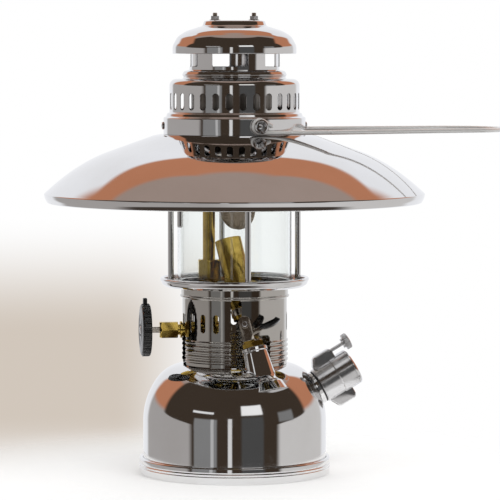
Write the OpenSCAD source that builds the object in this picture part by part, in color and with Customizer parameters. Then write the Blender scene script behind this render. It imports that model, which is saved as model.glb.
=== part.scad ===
// Kerosene pressure lantern with a reflector shade, a bail, and a quick preheater.
// Millimetres. +Z is up, the origin is the centre of the base ring's resting face, and
// azimuth 0 is the front (-Y), growing toward the right (+X).

/* [Tank] */
// Outside radius of the tank wall
tank_r = 81.4; // [80:0.2:83]
// Radius of the long arc that turns the wall over into the dome
dome_r = 64; // [60:1:66]
// Height at which the wall starts to curve
dome_start_z = 46.75; // [44:0.25:49]
// Radius of the tighter arc at the edge of the flat crown
crown_edge_r = 31.5; // [30:0.5:33]
// Thickness of the tank's sheet brass
tank_sheet = 1; // [0.8:0.1:1.2]
// Outside radius of the base ring
base_r = 85; // [84.5:0.5:86]
// Height of the base ring
base_h = 15; // [14:0.5:16]

/* [Filler] */
// Azimuth of the filler cap
filler_azimuth = 100.7; // [96:0.1:104]
// Tilt of the filler cap above the horizontal
filler_tilt = 30; // [28:1:32]
// Radius of the filler cap's body
filler_cap_r = 16.1; // [15.5:0.1:16.4]
// Radius of the filler cap's threaded plug
plug_r = 11.2; // [10.8:0.1:11.3]

/* [Pump] */
// Azimuth of the pump, on the back shoulder
pump_azimuth = 180; // [176:1:184]
// Tilt of the pump's axis above the horizontal
pump_tilt = 45; // [44:1:46]
// Bore radius of the pump barrel
barrel_r = 8.7; // [8.6:0.05:8.8]
// Radius of the pump rod
pump_rod_r = 2.5; // [2.3:0.1:2.5]

/* [Control valve] */
// Azimuth of the handwheel and its spindle
control_azimuth = -82.4; // [-84:0.1:-80]
// Distance of the vaporizer's axis from the lantern's axis
stem_offset = 22.9; // [22.5:0.1:23.3]
// Height of the spindle
spindle_z = 128.2; // [127.5:0.1:129]
// Radius of the spindle
spindle_r = 2.7; // [2.6:0.05:2.7]
// Throw of the eccentric pin that lifts the needle
eccentric = 1.6; // [1.5:0.05:1.6]
// Radius of the handwheel
wheel_r = 23.5; // [22:0.5:24]
// Thickness of the handwheel
wheel_w = 8.7; // [8:0.1:9]

/* [Preheater] */
// Lean of the preheater toward the left
preheater_left = 13.7; // [13.4:0.1:14]
// Lean of the preheater toward the back
preheater_back = 13.9; // [13.6:0.1:14.2]
// Radius of the flame tube
flame_tube_r = 11.65; // [11.2:0.05:11.7]
// Crank length between the lever's spindle and the valve rod
crank = 2.5; // [2.4:0.1:2.5]

/* [Frame] */
// Outside radius of the slotted collar
collar_r = 46.5; // [46.2:0.1:46.8]
// Height of the collar's top edge
collar_top_z = 166.4; // [166:0.2:167]
// Radius of the circle of posts
post_circle_r = 57.5; // [57:0.1:58]
// Radius of a post
post_r = 2.65; // [2.4:0.05:2.8]
// Azimuth of the front post
post_azimuth = 12; // [10:1:14]
// Height of the underside of the cage's top ring
post_top_z = 298; // [297.5:0.5:298]
// Outside radius of the glass
glass_r = 50.6; // [50.2:0.1:50.8]

/* [Top] */
// Height of the face that carries the hood
deck_z = 301.5; // [301:0.5:301.5]
// Radius of the hood's foot band
band_r = 62.9; // [62.5:0.1:63.2]
// Radius of the hood's slotted wall
louvre_r = 57.6; // [57.2:0.1:57.8]
// Number of slots round the hood
louvre_count = 30; // [24:1:32]
// Radius of the chimney tube
chimney_r = 39.8; // [39.4:0.1:40]
// Number of windows round the chimney
window_count = 5; // [4:1:5]
// Radius of the cap's rim
cap_r = 54.8; // [54:0.2:55]
// Radius of the reflector's rim
reflector_r = 168.5; // [160:0.5:170]
// Height of the bail's pivots
bail_z = 309.5; // [309.5:0.1:310]
// Radius of the bail wire
bail_wire_r = 2; // [1.8:0.1:2]
// Turn of the bail's plane from the row of the front
bail_turn = 19.8; // [16:0.2:24]

/* [Hidden] */
$fn = 96;

sheet = 0.8;               // thickness of the pressed sheet above the tank
far = 400;                 // a length that passes right through the lantern

// The dome's two tangent arcs
dome_centre = [tank_r - dome_r, dome_start_z];
join_way = [0.8, 0.6];     // direction from both centres to the point where the arcs meet
crown_centre = dome_centre + (dome_r - crown_edge_r) * join_way;
crown_z = crown_centre[1] + crown_edge_r;

tank_floor_z = 7;
filler_out = 77.2;         // where the filler cap's seat lies, out from the axis
filler_z = 75.6;
filler_neck_r = 15.2;
gasket_h = 1.4;
lug_out = 22.2;            // from the filler axis to the vent screw
pump_flange_r = 13;
pump_length = 92;
control_bore = 3.4;        // radius of the well that the needle rod slides in
arm_end = 49;              // where the valve body's arm meets the gland
gland_start = 51.1;
gland_end = 67.3;
wheel_start = 75.6;
vaporizer_r = 5.5;
vaporizer_bottom_z = 176;
vaporizer_top_z = 283;
rod_block_z = 120;
preheater_seat = [21.9, -43, 95];
bushing_rim_t = 17.5;      // distances along the preheater's axis end in _t
nut_t = 21;
bracket_t = 26;
crank_t = 41;
flame_start_t = 47.8;
flame_end_t = 120.4;
lug_y = -15;               // face of the bracket's front lug
collar_band_r = 47.6;
collar_band_z = 158.4;
slot_pitch = 16.2;
cage_floor_z = collar_top_z + 1;
cage_rim_r = 66.1;
cage_rim_z = 173;
reflector_slope = 0.36;
reflector_bend = 0.00514;  // how fast the slope grows outside reflector_bend_r
reflector_bend_r = 112;
reflector_flat_r = 68.3;
louvre_z = [320.5, 340.4]; // foot and head of the slotted wall
cap_rim_z = 372.6;
plateau_z = 401.7;
stud_out = 17.2;           // from the axis to each stud of the cap
burner_x = 3;              // the mantle hangs a little to the right
mantle_r = 15;
mantle_bottom_z = 217;
stud_y = 66;               // from the axis to the middle of the bail's eyes
eye_r = 5.6;
bail_straight = 75;        // length of the parallel part of each leg
bail_head_r = 50;          // radius of the bail's round head
bail_head_x = 205;         // where that round head is centred

chrome = [0.86, 0.87, 0.88];
steel = [0.66, 0.65, 0.64];
brass = [0.80, 0.64, 0.25];
black = [0.07, 0.07, 0.07];

// ---- Helpers ----------------------------------------------------------------------------

module at_azimuth(a) rotate([0, 0, a - 90]) children();

// Children are drawn along +Z; their axis lands on the filler's, pump's or preheater's.
module at_filler() at_azimuth(filler_azimuth) translate([filler_out, 0, filler_z])
  rotate([0, 90 - filler_tilt, 0]) children();
module at_pump() at_azimuth(pump_azimuth)
  translate([crown_centre[0] + crown_edge_r * cos(pump_tilt), 0,
             crown_centre[1] + crown_edge_r * sin(pump_tilt)])
  rotate([0, 90 - pump_tilt, 0]) children();
module at_preheater() translate(preheater_seat)
  rotate([-preheater_back, -preheater_left, 0]) children();
// Children are drawn with +X running outward along the spindle, at the lantern's own height.
module at_control() at_azimuth(control_azimuth) children();
module at_stem() at_control() translate([stem_offset, 0, 0]) children();
// Children are drawn along +Z, which becomes the spindle's axis.
module on_spindle() at_control() translate([0, 0, spindle_z]) rotate([0, 90, 0]) children();

function polar(c, r, a) = c + r * [cos(a), sin(a)];
function arc_points(c, r, from, to, steps) =
  [for (i = [0:steps]) polar(c, r, from + (to - from) * i / steps)];
function left_normal(p, q) = let (d = (q - p) / norm(q - p)) [-d[1], d[0]];
function offset_point(pts, i, t) =
  let (last = len(pts) - 1,
       a = left_normal(pts[max(i - 1, 0)], pts[max(i, 1)]),
       b = left_normal(pts[min(i, last - 1)], pts[min(i + 1, last)]))
  pts[i] + t * (a + b) / (1 + a * b);
// A sheet of thickness t on the left of a line of points.
function sheet_outline(pts, t) =
  concat(pts, [for (i = [len(pts) - 1:-1:0]) offset_point(pts, i, t)]);

module spun_sheet(pts, t) rotate_extrude() polygon(sheet_outline(pts, t));

module tube(r_out, r_in, z0, z1) translate([0, 0, z0]) difference() {
  cylinder(r = r_out, h = z1 - z0);
  translate([0, 0, -1]) cylinder(r = r_in, h = z1 - z0 + 2);
}

module rod(r, z0, z1) translate([0, 0, z0]) cylinder(r = r, h = z1 - z0);

// A hexagon given by its width across flats.
module hexagon(flats, z0, z1) translate([0, 0, z0])
  cylinder(d = flats / cos(30), h = z1 - z0, $fn = 6);

// A part of a ring between two azimuths.
module sector(a0, a1, r0, r1, z0, z1) at_azimuth(a0) rotate_extrude(angle = a1 - a0)
  translate([r0, z0]) square([r1 - r0, z1 - z0]);

// Unit vectors along a line of points, and normals carried along it without twist.
function tangent(pts, i) = let (d = pts[min(i + 1, len(pts) - 1)] - pts[max(i - 1, 0)]) d / norm(d);
function carried_normals(pts, n, i = 0) = i == len(pts) ? [] :
  let (t = tangent(pts, i), m = n - (n * t) * t, u = m / norm(m))
  concat([u], carried_normals(pts, u, i + 1));

// Round wire of radius r that follows a line of points; start is any vector across its start.
module swept_wire(pts, r, sides, start = [0, 0, 1]) {
  normals = carried_normals(pts, start);
  rings = len(pts) - 1;
  points = [for (i = [0:rings]) let (u = normals[i], v = cross(tangent(pts, i), u))
    for (s = [0:sides - 1]) pts[i] + r * (cos(360 * s / sides) * u + sin(360 * s / sides) * v)];
  faces = concat([[for (s = [0:sides - 1]) s]],
    [for (i = [0:rings - 1]) for (s = [0:sides - 1])
      let (n = (s + 1) % sides, here = i * sides, next = here + sides)
      each [[here + s, next + s, next + n], [here + s, next + n, here + n]]],
    [[for (s = [sides - 1:-1:0]) rings * sides + s]]);
  polyhedron(points = points, faces = faces, convexity = 10);
}

// A round-ended hole through a wall at radius r.
module radial_slot(a, r, w, z0, z1) at_azimuth(a) translate([r, 0, 0]) rotate([90, 0, 90])
  linear_extrude(height = 12, center = true) union() {
    translate([-w / 2, z0 + w / 2]) square([w, z1 - z0 - w]);
    translate([0, z0 + w / 2]) circle(d = w);
    translate([0, z1 - w / 2]) circle(d = w);
  }

// ---- Tank -------------------------------------------------------------------------------

// Half section of the tank, inset evenly from its outside.
module tank_section(inset, bottom) {
  join_z = dome_centre[1] + (dome_r - inset) * join_way[1];
  translate([0, bottom]) square([tank_r - inset, dome_start_z - bottom]);
  intersection() {
    translate(dome_centre) circle(r = dome_r - inset);
    translate([0, dome_start_z]) square([far, join_z - dome_start_z]);
  }
  intersection() {
    translate(crown_centre) circle(r = crown_edge_r - inset);
    translate([crown_centre[0], join_z]) square(far);
  }
  translate([0, dome_start_z]) square([crown_centre[0], crown_z - inset - dome_start_z]);
}

module base_ring() color(chrome) rotate_extrude() difference() {
  union() {
    translate([tank_r, 9]) square([base_r - 2.2 - tank_r, base_h - 9]);
    translate([tank_r, 9]) square([base_r - tank_r - 1.2, base_h - 10.2]);
    translate([base_r - 1.2, 1.2]) square([1.2, base_h - 2.4]);
    translate([base_r - 2.2, base_h - 2.2]) circle(r = 2.2);
    translate([base_r - 1.2, 1.2]) circle(r = 1.2);
    translate([base_r - 3.4, 0]) square([2.4, 2.4]);
  }
  square([tank_r, far]);
  translate([base_r, base_h - 5.4]) circle(r = 0.7);
  translate([base_r, base_h - 8]) circle(r = 0.5);
}

module tank_bottom() color(chrome) rotate_extrude()
  polygon([[0, tank_floor_z + 4], [50, tank_floor_z + 3], [66, tank_floor_z],
           [tank_r - tank_sheet, tank_floor_z], [tank_r - tank_sheet, tank_floor_z + 7],
           [tank_r - 2 * tank_sheet, tank_floor_z + 7],
           [tank_r - 2 * tank_sheet, tank_floor_z + 1], [66, tank_floor_z + 1],
           [50, tank_floor_z + 4], [0, tank_floor_z + 5]]);

module tank_shell() color(chrome) difference() {
  rotate_extrude() difference() {
    tank_section(0, tank_floor_z);
    tank_section(tank_sheet, tank_floor_z - 1);
  }
  at_stem() rod(12.5, crown_z - 20, crown_z + 10);
  at_filler() rod(filler_neck_r, -20, 5);
  at_pump() rod(pump_flange_r, -12, 8);
  at_preheater() rod(12, -24, 10);
}

// Threaded socket that carries the valve body.
module tank_neck() color(brass) at_stem() difference() {
  union() {
    rod(16, crown_z, crown_z + 3);
    rod(12.5, crown_z - 7, crown_z);
  }
  rod(9, crown_z - 8, crown_z + 4);
}

module filler_neck() color(chrome) at_filler() difference() {
  rod(filler_neck_r, -10, -gasket_h);
  rod(plug_r + 0.3, -11, 1);
}

module filler_gasket() color(black) at_filler() tube(15, plug_r + 0.05, -gasket_h, 0);

// Screw plug, gauge housing and two finger lugs in one casting.
module filler_cap() color(chrome) at_filler() difference() {
  union() {
    rod(plug_r, -9, 0);
    rod(filler_cap_r, 0, 18.4);
    rod(filler_cap_r + 0.6, 18.4, 33);
    for (side = [0, 180]) rotate([90, 0, side]) linear_extrude(height = 8, center = true)
      polygon([[10, 3], [18, 3], [lug_out + 3, 7], [lug_out + 3, 25], [10, 25]]);
  }
  rod(14.6, 21, 34);
  rod(3, -10, 22);
  translate([-lug_out, 0, 0]) rod(1.65, 9, 26);
}

module gauge_bourdon() color(brass) at_filler() union() {
  rod(2.9, 18, 22.5);
  translate([0, 0, 23.6]) rotate_extrude(angle = 270) translate([8.5, 0]) circle(r = 1.5);
  translate([0, 0, 22.4]) rotate([90, 0, 90]) linear_extrude(height = 8.8)
    translate([-1.2, -0.3]) square([2.4, 1.6]);
}

module gauge_dial() color("white") at_filler() tube(14.6, 0.8, 28, 28.8);

// At rest it points to the lower left of the dial, seen from outside.
module gauge_pointer() color(black) at_filler() rotate([0, 0, 135]) union() {
  rod(0.7, 26.5, 30.6);
  rod(1.8, 29.6, 30.4);
  translate([-11, -0.5, 29.6]) cube([11, 1, 0.6]);
  translate([0, -0.8, 29.6]) cube([4, 1.6, 0.6]);
}

module gauge_glass() color([0.8, 0.9, 0.9, 0.4]) at_filler() rod(14.6, 31.6, 33);

module gauge_bezel() color(chrome) at_filler() difference() {
  union() {
    rod(filler_cap_r + 0.6, 33, 34.6);
    translate([0, 0, 34.6]) cylinder(r1 = filler_cap_r + 0.6, r2 = filler_cap_r - 1.2, h = 1.4);
  }
  rod(13, 32, 37);
}

// Screw that lets the pressure out: a plain stem with a knurled head.
module vent_screw() color(chrome) at_filler() translate([-lug_out, 0, 0]) difference() {
  union() {
    rod(1.6, 10, 39);
    rod(7.25, 38.5, 43.5);
    rod(4.5, 36.6, 38.5);
  }
  for (a = [0:15:345]) rotate([0, 0, a]) translate([7.9, 0, 0]) rod(1, 38, 44);
}

// ---- Pump -------------------------------------------------------------------------------

module pump_barrel() color(brass) at_pump() difference() {
  union() {
    rod(pump_flange_r, -6, 3);
    rod(9.6, -pump_length, -6);
  }
  rod(barrel_r, -pump_length - 1, 4);
}

// Non-return valve screwed into the foot of the barrel.
module pump_valve() color(brass) at_pump() difference() {
  union() {
    rod(barrel_r, -pump_length, -pump_length + 5);
    rod(6, -pump_length - 7, -pump_length);
  }
  rod(1, -pump_length - 3, -pump_length + 6);
  translate([0, 0, -pump_length - 4]) rotate([90, 0, 0]) rod(1, -8, 8);
}

module pump_cap() color(brass) at_pump() difference() {
  union() {
    rod(pump_flange_r - 0.8, 3, 8);
    translate([0, 0, 8]) cylinder(r1 = pump_flange_r - 0.8, r2 = 9, h = 1.4);
    rod(barrel_r, -3, 3);
  }
  for (a = [0:30:330]) rotate([0, 0, a]) translate([13.2, 0, 0]) rod(1.6, 2, 10);
  rod(pump_rod_r + 0.1, -4, 10);
}

module pump_rod() color(steel) at_pump() rod(pump_rod_r, -84, 18);

module pump_knob() color(brass) at_pump() difference() {
  rotate_extrude() polygon(concat([[pump_rod_r, 10.4], [5.5, 10.4], [5.5, 12.4], [12, 13.4]],
    arc_points([10, 16.6], 3.6, -50, 60, 5), [[6, 20.8], [0, 21.4], [0, 18], [pump_rod_r, 18]]));
  for (a = [0:20:340]) rotate([0, 0, a]) translate([14.6, 0, 0]) rod(1.4, 10, 24);
}

// Leather cup with its nut and washer.
module pump_cup() color([0.45, 0.30, 0.18]) at_pump() difference() {
  union() {
    rotate_extrude() polygon([[pump_rod_r, -80], [7, -80], [8.65, -86.5], [7.4, -86.5],
                              [6, -82], [pump_rod_r, -82]]);
    hexagon(7, -84, -82);
  }
  rod(pump_rod_r, -90, -70);
}

function coil_point(r, a, pitch) = [r * cos(a), r * sin(a), pitch * a / 360];

module pump_spring() color(steel) at_pump() translate([0, 0, -78.9])
  swept_wire([for (a = [0:30:2160]) coil_point(4, a, 3)], 0.6, 6);

// ---- Control valve and vaporizer --------------------------------------------------------

// Tube that reaches down to the fuel, with the foot valve's seat at its end.
module dip_tube() color(brass) at_stem() difference() {
  union() {
    rod(4.4, 18, crown_z - 8);
    rod(6, 14, 26);
  }
  rod(control_bore, 20, crown_z);
  rod(1.2, 13, 21);
}

module valve_body() color(brass) difference() {
  union() {
    at_stem() {
      rod(9, crown_z - 8, crown_z + 3);
      hexagon(24, crown_z + 3, crown_z + 9);
      rod(8.2, crown_z + 9, vaporizer_bottom_z);
    }
    on_spindle() {
      rod(7, stem_offset, 44);
      rod(6, 44, 47);
      rod(7.4, 47, arm_end);
      rod(4.75, arm_end, 60);
    }
  }
  at_stem() rod(control_bore, crown_z - 9, vaporizer_bottom_z + 1);
  on_spindle() {
    rod(3.2, stem_offset, 33);
    rod(spindle_r + 0.08, 30, 62);
  }
}

module gland_packing() color([0.25, 0.24, 0.22]) on_spindle() tube(4.75, spindle_r + 0.08, 60, 63);

module gland_nut() color(brass) on_spindle() difference() {
  intersection() {
    hexagon(14, gland_start, gland_end);
    rotate_extrude() polygon([[0, gland_start], [7.4, gland_start], [8.1, gland_start + 0.8],
                              [8.1, gland_end - 1.6], [6.4, gland_end], [0, gland_end]]);
  }
  rod(4.75, gland_start - 1, 63);
  rod(spindle_r + 0.1, 62, gland_end + 1);
}

// The pin at the inner end stands above the axis at rest and holds the needle up.
module spindle() color(steel) on_spindle() difference() {
  union() {
    rod(spindle_r, stem_offset + control_bore + 0.3, wheel_start + wheel_w - 1);
    translate([-eccentric, 0, 0]) rod(1, stem_offset + 0.9, stem_offset + control_bore + 0.5);
  }
  rod(1.2, wheel_start, far);
}

module handwheel() color(black) on_spindle() union() {
  difference() {
    rotate_extrude() polygon([[spindle_r, wheel_start + 1], [6, wheel_start + 1],
      [8, wheel_start + 2.6], [17.5, wheel_start + 2.6], [19, wheel_start],
      [22.3, wheel_start], [wheel_r, wheel_start + 1.2], [wheel_r, wheel_start + wheel_w - 2.2],
      [21.8, wheel_start + wheel_w - 0.8], [14, wheel_start + wheel_w],
      [6, wheel_start + wheel_w], [5.6, wheel_start + wheel_w - 1],
      [spindle_r, wheel_start + wheel_w - 1]]);
    for (a = [0:15:345]) rotate([0, 0, a + 7.5]) translate([wheel_r + 1, 0, 0])
      rod(2.1, wheel_start - 1, wheel_start + wheel_w + 1);
  }
  translate([-wheel_r - 4.9, -3, wheel_start + 2.6]) cube([6.4, 6, 3.6]);
}

module wheel_screw() color(chrome) on_spindle() difference() {
  union() {
    rod(1.2, wheel_start + 1, wheel_start + wheel_w - 1);
    rod(3.9, wheel_start + wheel_w - 1, wheel_start + wheel_w + 0.8);
    translate([0, 0, wheel_start + wheel_w + 0.8]) cylinder(r1 = 3.9, r2 = 2.6, h = 0.9);
  }
  translate([-5, -0.5, wheel_start + wheel_w + 0.7]) cube([10, 1, 3]);
}

// One rod from the foot valve's plug up to the cleaning needle in the jet.
module needle_rod() color(steel) at_stem() difference() {
  union() {
    rod(1.5, 26, 281);
    translate([0, 0, 24.2]) cylinder(r1 = 1, r2 = 2.2, h = 2);
    rod(3.1, rod_block_z, rod_block_z + 18);
    rod(0.25, 280, 289.5);
  }
  translate([0.4, -4, spindle_z + eccentric - 1.4]) cube([4, 8, 2.8]);
}

module vaporizer_nut() color(brass) at_stem() difference() {
  intersection() {
    hexagon(19, 172, 190.6);
    rotate_extrude() polygon([[0, 172], [10.2, 172], [11, 173], [11, 189], [9.6, 190.6], [0, 190.6]]);
  }
  rod(8.2, 171, 178.2);
  rod(vaporizer_r, 178, 191);
}

// Straight tube with a side loop that the flame heats.
module vaporizer() color(brass) at_stem() difference() {
  union() {
    rod(vaporizer_r, 178.2, vaporizer_top_z);
    rod(8.2, vaporizer_bottom_z, 178.2);
    rotate([0, 0, 60 - (control_azimuth - 90)]) translate([5, 0, 262]) rotate([90, 0, 0])
      rotate_extrude(angle = 360) translate([10, 0]) circle(r = 2.6);
  }
  rod(3.2, vaporizer_bottom_z - 1, vaporizer_top_z + 1);
}

module jet() color(brass) at_stem() difference() {
  union() {
    hexagon(9, vaporizer_top_z, vaporizer_top_z + 3.5);
    translate([0, 0, vaporizer_top_z + 3.5]) cylinder(r1 = 3.4, r2 = 1.4, h = 3.5);
    rod(3.2, vaporizer_top_z - 3, vaporizer_top_z);
  }
  rod(1.9, vaporizer_top_z - 4, vaporizer_top_z + 1);
  rod(0.45, vaporizer_top_z, vaporizer_top_z + 8);
}

// ---- Preheater --------------------------------------------------------------------------

// Flared boss on the dome, with the tube that picks up fuel and air below it.
module preheater_bushing() color(chrome) difference() {
  union() {
    difference() {
      at_preheater() rotate_extrude() polygon(concat(
        [[0, -24], [21, -24], [20.4, -13]], arc_points([21.5, -4.5], 7.5, 240, 190, 4),
        [[11.3, bushing_rim_t - 0.4], [11.75, bushing_rim_t], [11.75, nut_t - 0.4],
         [11.3, nut_t], [0, nut_t]]));
      rotate_extrude() tank_section(0, tank_floor_z);
    }
    at_preheater() {
      rod(12, -18, 0);
      rod(3.6, -72, -18);
    }
  }
  at_preheater() rod(3.3, -12, nut_t + 1);
  at_preheater() rod(1.6, -73, -11);
}

module preheater_nut() color(brass) at_preheater() difference() {
  hexagon(18, nut_t, bracket_t);
  rod(3.3, nut_t - 1, bracket_t + 1);
}

// Brass burner body with the boss that the lever's spindle turns in.
module preheater_body() color(brass) at_preheater() difference() {
  union() {
    rod(6.5, bracket_t + 1.2, 45);
    translate([0, 0, 45]) cylinder(r1 = 5, r2 = 2.4, h = 5);
    translate([-crank, 0, crank_t]) rotate([90, 0, 0]) {
      rod(4.8, 0, 6);
      rod(4, 6, 12.8);
    }
  }
  rod(3.3, bracket_t, 46);
  rod(0.5, 44, 51);
  translate([-crank, 0, crank_t]) rotate([90, 0, 0]) {
    rod(3.8, 0, 4.8);
    rod(2.08, 4, 13);
  }
}

// Steel strap that the nut clamps: front lug, upright arm and the clip round the flame tube.
module preheater_bracket() color(steel) at_preheater() difference() {
  union() {
    rod(9, bracket_t, bracket_t + 1.2);
    translate([-7.6, lug_y - 1.2, bracket_t]) cube([10.4, -lug_y, 1.2]);
    translate([-2.4, lug_y, 0]) rotate([90, 0, 0]) linear_extrude(height = 1.2) union() {
      translate([-5.2, bracket_t]) square([10.4, 43 - bracket_t]);
      translate([0, 43]) circle(r = 5.2);
    }
    translate([-5, 6, bracket_t]) cube([10, 6.45, 1.2]);
    translate([-5, 11.25, bracket_t]) cube([10, 1.2, 30]);
    rod(12.45, 51, 57);
  }
  rod(flame_tube_r, flame_start_t - 1, 58);
  rod(3.3, bracket_t - 1, bracket_t + 2);
  translate([-crank, 0, crank_t]) rotate([90, 0, 0]) rod(1.7, 10, 20);
}

module preheater_rod() color(steel) at_preheater() difference() {
  union() {
    rod(3, 30, 43);
    rod(1.5, -10, 30);
    translate([0, 0, -11.6]) cylinder(r1 = 1.7, r2 = 2.6, h = 2);
  }
  translate([-3.4, -4, crank_t - 1.35]) cube([6.8, 3.7, 2.7]);
}

// Spindle with a crank pin that lifts the valve rod when the lever goes up.
module lever_spindle() color(steel) at_preheater() translate([-crank, 0, crank_t])
  rotate([90, 0, 0]) union() {
    rod(2, 3.5, 14.8);
    rod(1.6, 14.8, 17.2);
    translate([0, 0, 16.5]) cylinder(r1 = 2.8, r2 = 2, h = 0.8);
    translate([crank, 0, 0]) rod(1, 0.7, 4.3);
    translate([0, -1, 3.3]) cube([crank, 2, 1]);
  }

// The lever's arm, from its spindle down and out to the right.
module lever_outline(grow) for (run = [[[0, 0], [4.6, -9]], [[4.6, -9], [13.4, -6.4]]]) hull() {
  translate(run[0]) circle(r = grow, $fn = 24);
  translate(run[1]) circle(r = grow, $fn = 24);
}

module preheater_lever() color(steel) at_preheater() translate([-crank, 0, crank_t])
  rotate([90, 0, 0]) difference() {
    translate([0, 0, 13.2]) linear_extrude(height = 1.5) union() {
      circle(r = 3.8);
      lever_outline(2);
    }
    rod(2, 10, 16);
  }

// Curved black finger piece on the end of the lever.
module lever_tip() color(black) at_preheater() translate([-crank, 0, crank_t])
  rotate([90, 0, 0]) difference() {
    translate([0, 0, 10]) linear_extrude(height = 8) polygon(concat(
      arc_points([18, 12], 20, 250, 312, 8), arc_points([18, 12], 15.5, 308, 254, 8)));
    translate([0, 0, 13.2]) linear_extrude(height = 1.5) lever_outline(2);
  }

module flame_tube() color(brass) at_preheater() difference() {
  tube(flame_tube_r, flame_tube_r - 0.7, flame_start_t, flame_end_t);
  for (a = [20:60:320]) rotate([0, 0, a]) translate([flame_tube_r, 0, 60]) rotate([0, 90, 0])
    cylinder(r = 2.2, h = 6, center = true);
}

// ---- Frame ------------------------------------------------------------------------------

module collar_profile() {
  translate([collar_r - sheet, crown_z]) square([sheet, collar_band_z - crown_z + 1]);
  translate([collar_r - sheet, collar_band_z]) square([collar_band_r - collar_r + sheet, 1]);
  translate([collar_band_r - sheet, collar_band_z]) square([sheet, collar_top_z - collar_band_z]);
  translate([collar_band_r - 0.4, collar_band_z - 0.2]) circle(r = 1.2);
  translate([collar_r - 3, crown_z]) square([3, 1]);
  for (i = [0:4]) translate([collar_r - sheet, 101 + 4.2 * i]) square([sheet + 0.8, 2.1]);
}

module collar() color(chrome) difference() {
  rotate_extrude() collar_profile();
  // Ventilation slots, left and right of the controls
  for (i = [0:2]) radial_slot(-20.3 - slot_pitch * i, collar_r, 5.4, 127.6, 144.1);
  for (i = [0:10]) radial_slot(-114 - slot_pitch * i, collar_r, 5.4, 127.6, 144.1);
  // Opening for the spindle, then the stepped one for the preheater
  sector(-97.4, -67.4, 40, 50, 97, 143);
  sector(-4, 42, 40, 50, 97, 126);
  sector(-4, 18.5, 40, 50, 97, 141.5);
  sector(-4, 8, 40, 50, 97, 157);
  // Rounded lower corners of the panels
  for (corner = [[-4, -1], [-67.4, 1], [-97.4, -1], [42, 1]])
    at_azimuth(corner[0]) translate([40, 0, crown_z]) rotate([90, 0, 90])
      linear_extrude(height = 12) scale([corner[1], 1])
        polygon([[-2, -1], [5.5, -1], [5.5, 0.1], [3.2, 0.7], [1.4, 2.1], [0.4, 4.2], [0.1, 6.5],
                 [-2, 6.5]]);
}

// Dished ring with a rolled rim: the floor that carries the posts and the glass.
module cage_ring() color(chrome) rotate_extrude() union() {
  translate([collar_band_r - 2 * sheet, collar_top_z - 5]) square([sheet, 5.2]);
  translate([41, collar_top_z]) square([21.2, 1]);
  polygon([[62.1, collar_top_z], [63.6, collar_top_z + 0.6], [65.6, cage_rim_z - 1.4],
           [64.4, cage_rim_z - 0.8], [62.8, cage_floor_z + 0.7], [62.1, cage_floor_z]]);
  translate([cage_rim_r - 1.7, cage_rim_z]) circle(r = 1.7);
  translate([47.6, collar_top_z]) square([sheet, 5.6]);
}

module cage_posts() color(chrome) for (i = [0:3]) at_azimuth(post_azimuth + 90 * i)
  translate([post_circle_r, 0, 0]) union() {
    rod(post_r, cage_floor_z, post_top_z);
    rod(4.1, cage_floor_z, cage_floor_z + 1.6);
    rod(3.6, post_top_z - 2, post_top_z);
  }

module cage_top_ring() color(chrome) tube(62, 52.6, post_top_z, deck_z - 1.5);

module glass() color([0.85, 0.93, 0.95, 0.35]) tube(glass_r, glass_r - 1.6, cage_floor_z, 291);

// ---- Burner -----------------------------------------------------------------------------

// Flanged tube that closes the burner room off from the cool air under the hood.
module inner_casing() color(steel) union() {
  tube(61, 37.5, deck_z - 1.5, deck_z - sheet);
  tube(38.3, 37.5, deck_z - sheet, 350);
  tube(51.6, 50.9, 286, deck_z - 1.5);
}

// The gas mixture climbs from above the jet, turns over and comes down on the burner's axis.
bridge_z = 306;
elbow_z = 322;
jet_xy = stem_offset * [sin(control_azimuth), -cos(control_azimuth)];
elbow_r = norm([burner_x, 0] - jet_xy) / 2;
elbow_turn = atan2(-jet_xy[1], burner_x - jet_xy[0]);
module mixing_tube() color(steel) difference() {
  union() {
    translate([jet_xy[0], jet_xy[1], 0]) {
      rod(6, 294, elbow_z - 2);
      rod(7.2, 294, 299);
      rod(6.8, elbow_z - 4, elbow_z);
    }
    translate([burner_x, 0, 0]) {
      rod(6, 300, elbow_z - 2);
      rod(6.8, elbow_z - 4, elbow_z);
    }
    translate([(jet_xy[0] + burner_x) / 2, jet_xy[1] / 2, elbow_z]) rotate([90, 0, elbow_turn])
      rotate_extrude(angle = 180) translate([elbow_r, 0]) circle(r = 6);
    intersection() {
      translate([-40, -7, bridge_z]) cube([80, 14, 1.6]);
      rod(37.5, bridge_z, bridge_z + 1.6);
    }
  }
  translate([jet_xy[0], jet_xy[1], 0]) rod(5, 293, elbow_z - 1);
  translate([burner_x, 0, 0]) rod(5, 293, elbow_z - 1);
}

module gas_chamber() color(brass) translate([burner_x, 0, 0]) difference() {
  union() {
    rod(14, 268, 284);
    translate([0, 0, 284]) cylinder(r1 = 14, r2 = 7.4, h = 8);
    rod(7.4, 292, 300);
    rod(9, 262, 268);
  }
  rod(5, 261, 301);
}

module ceramic_nozzle() color("ivory") translate([burner_x, 0, 0]) difference() {
  rotate_extrude() polygon([[0, 250], [9.5, 250], [10.5, 251.5], [10.5, 254], [9, 255.5],
                            [9, 257.5], [10.5, 259], [10.5, 262], [0, 262]]);
  rod(5, 249, 263);
}

// Silk bag that glows, tied round the nozzle's groove.
module mantle() color([0.80, 0.68, 0.62]) translate([burner_x, 0, 0]) rotate_extrude()
  polygon(sheet_outline(concat([[0, mantle_bottom_z], [1.3, mantle_bottom_z]],
    arc_points([0, mantle_bottom_z + mantle_r], mantle_r, -75, 0, 6),
    [[mantle_r, 240], [13.8, 247], [11.6, 253], [11.1, 254.6], [9.7, 256], [9.6, 257.3]]), 0.5));

// ---- Reflector, hood and bail -----------------------------------------------------------

function reflector_height(r) = deck_z - reflector_slope * max(0, r - reflector_flat_r)
  - reflector_bend * pow(max(0, r - reflector_bend_r), 2);

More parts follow.
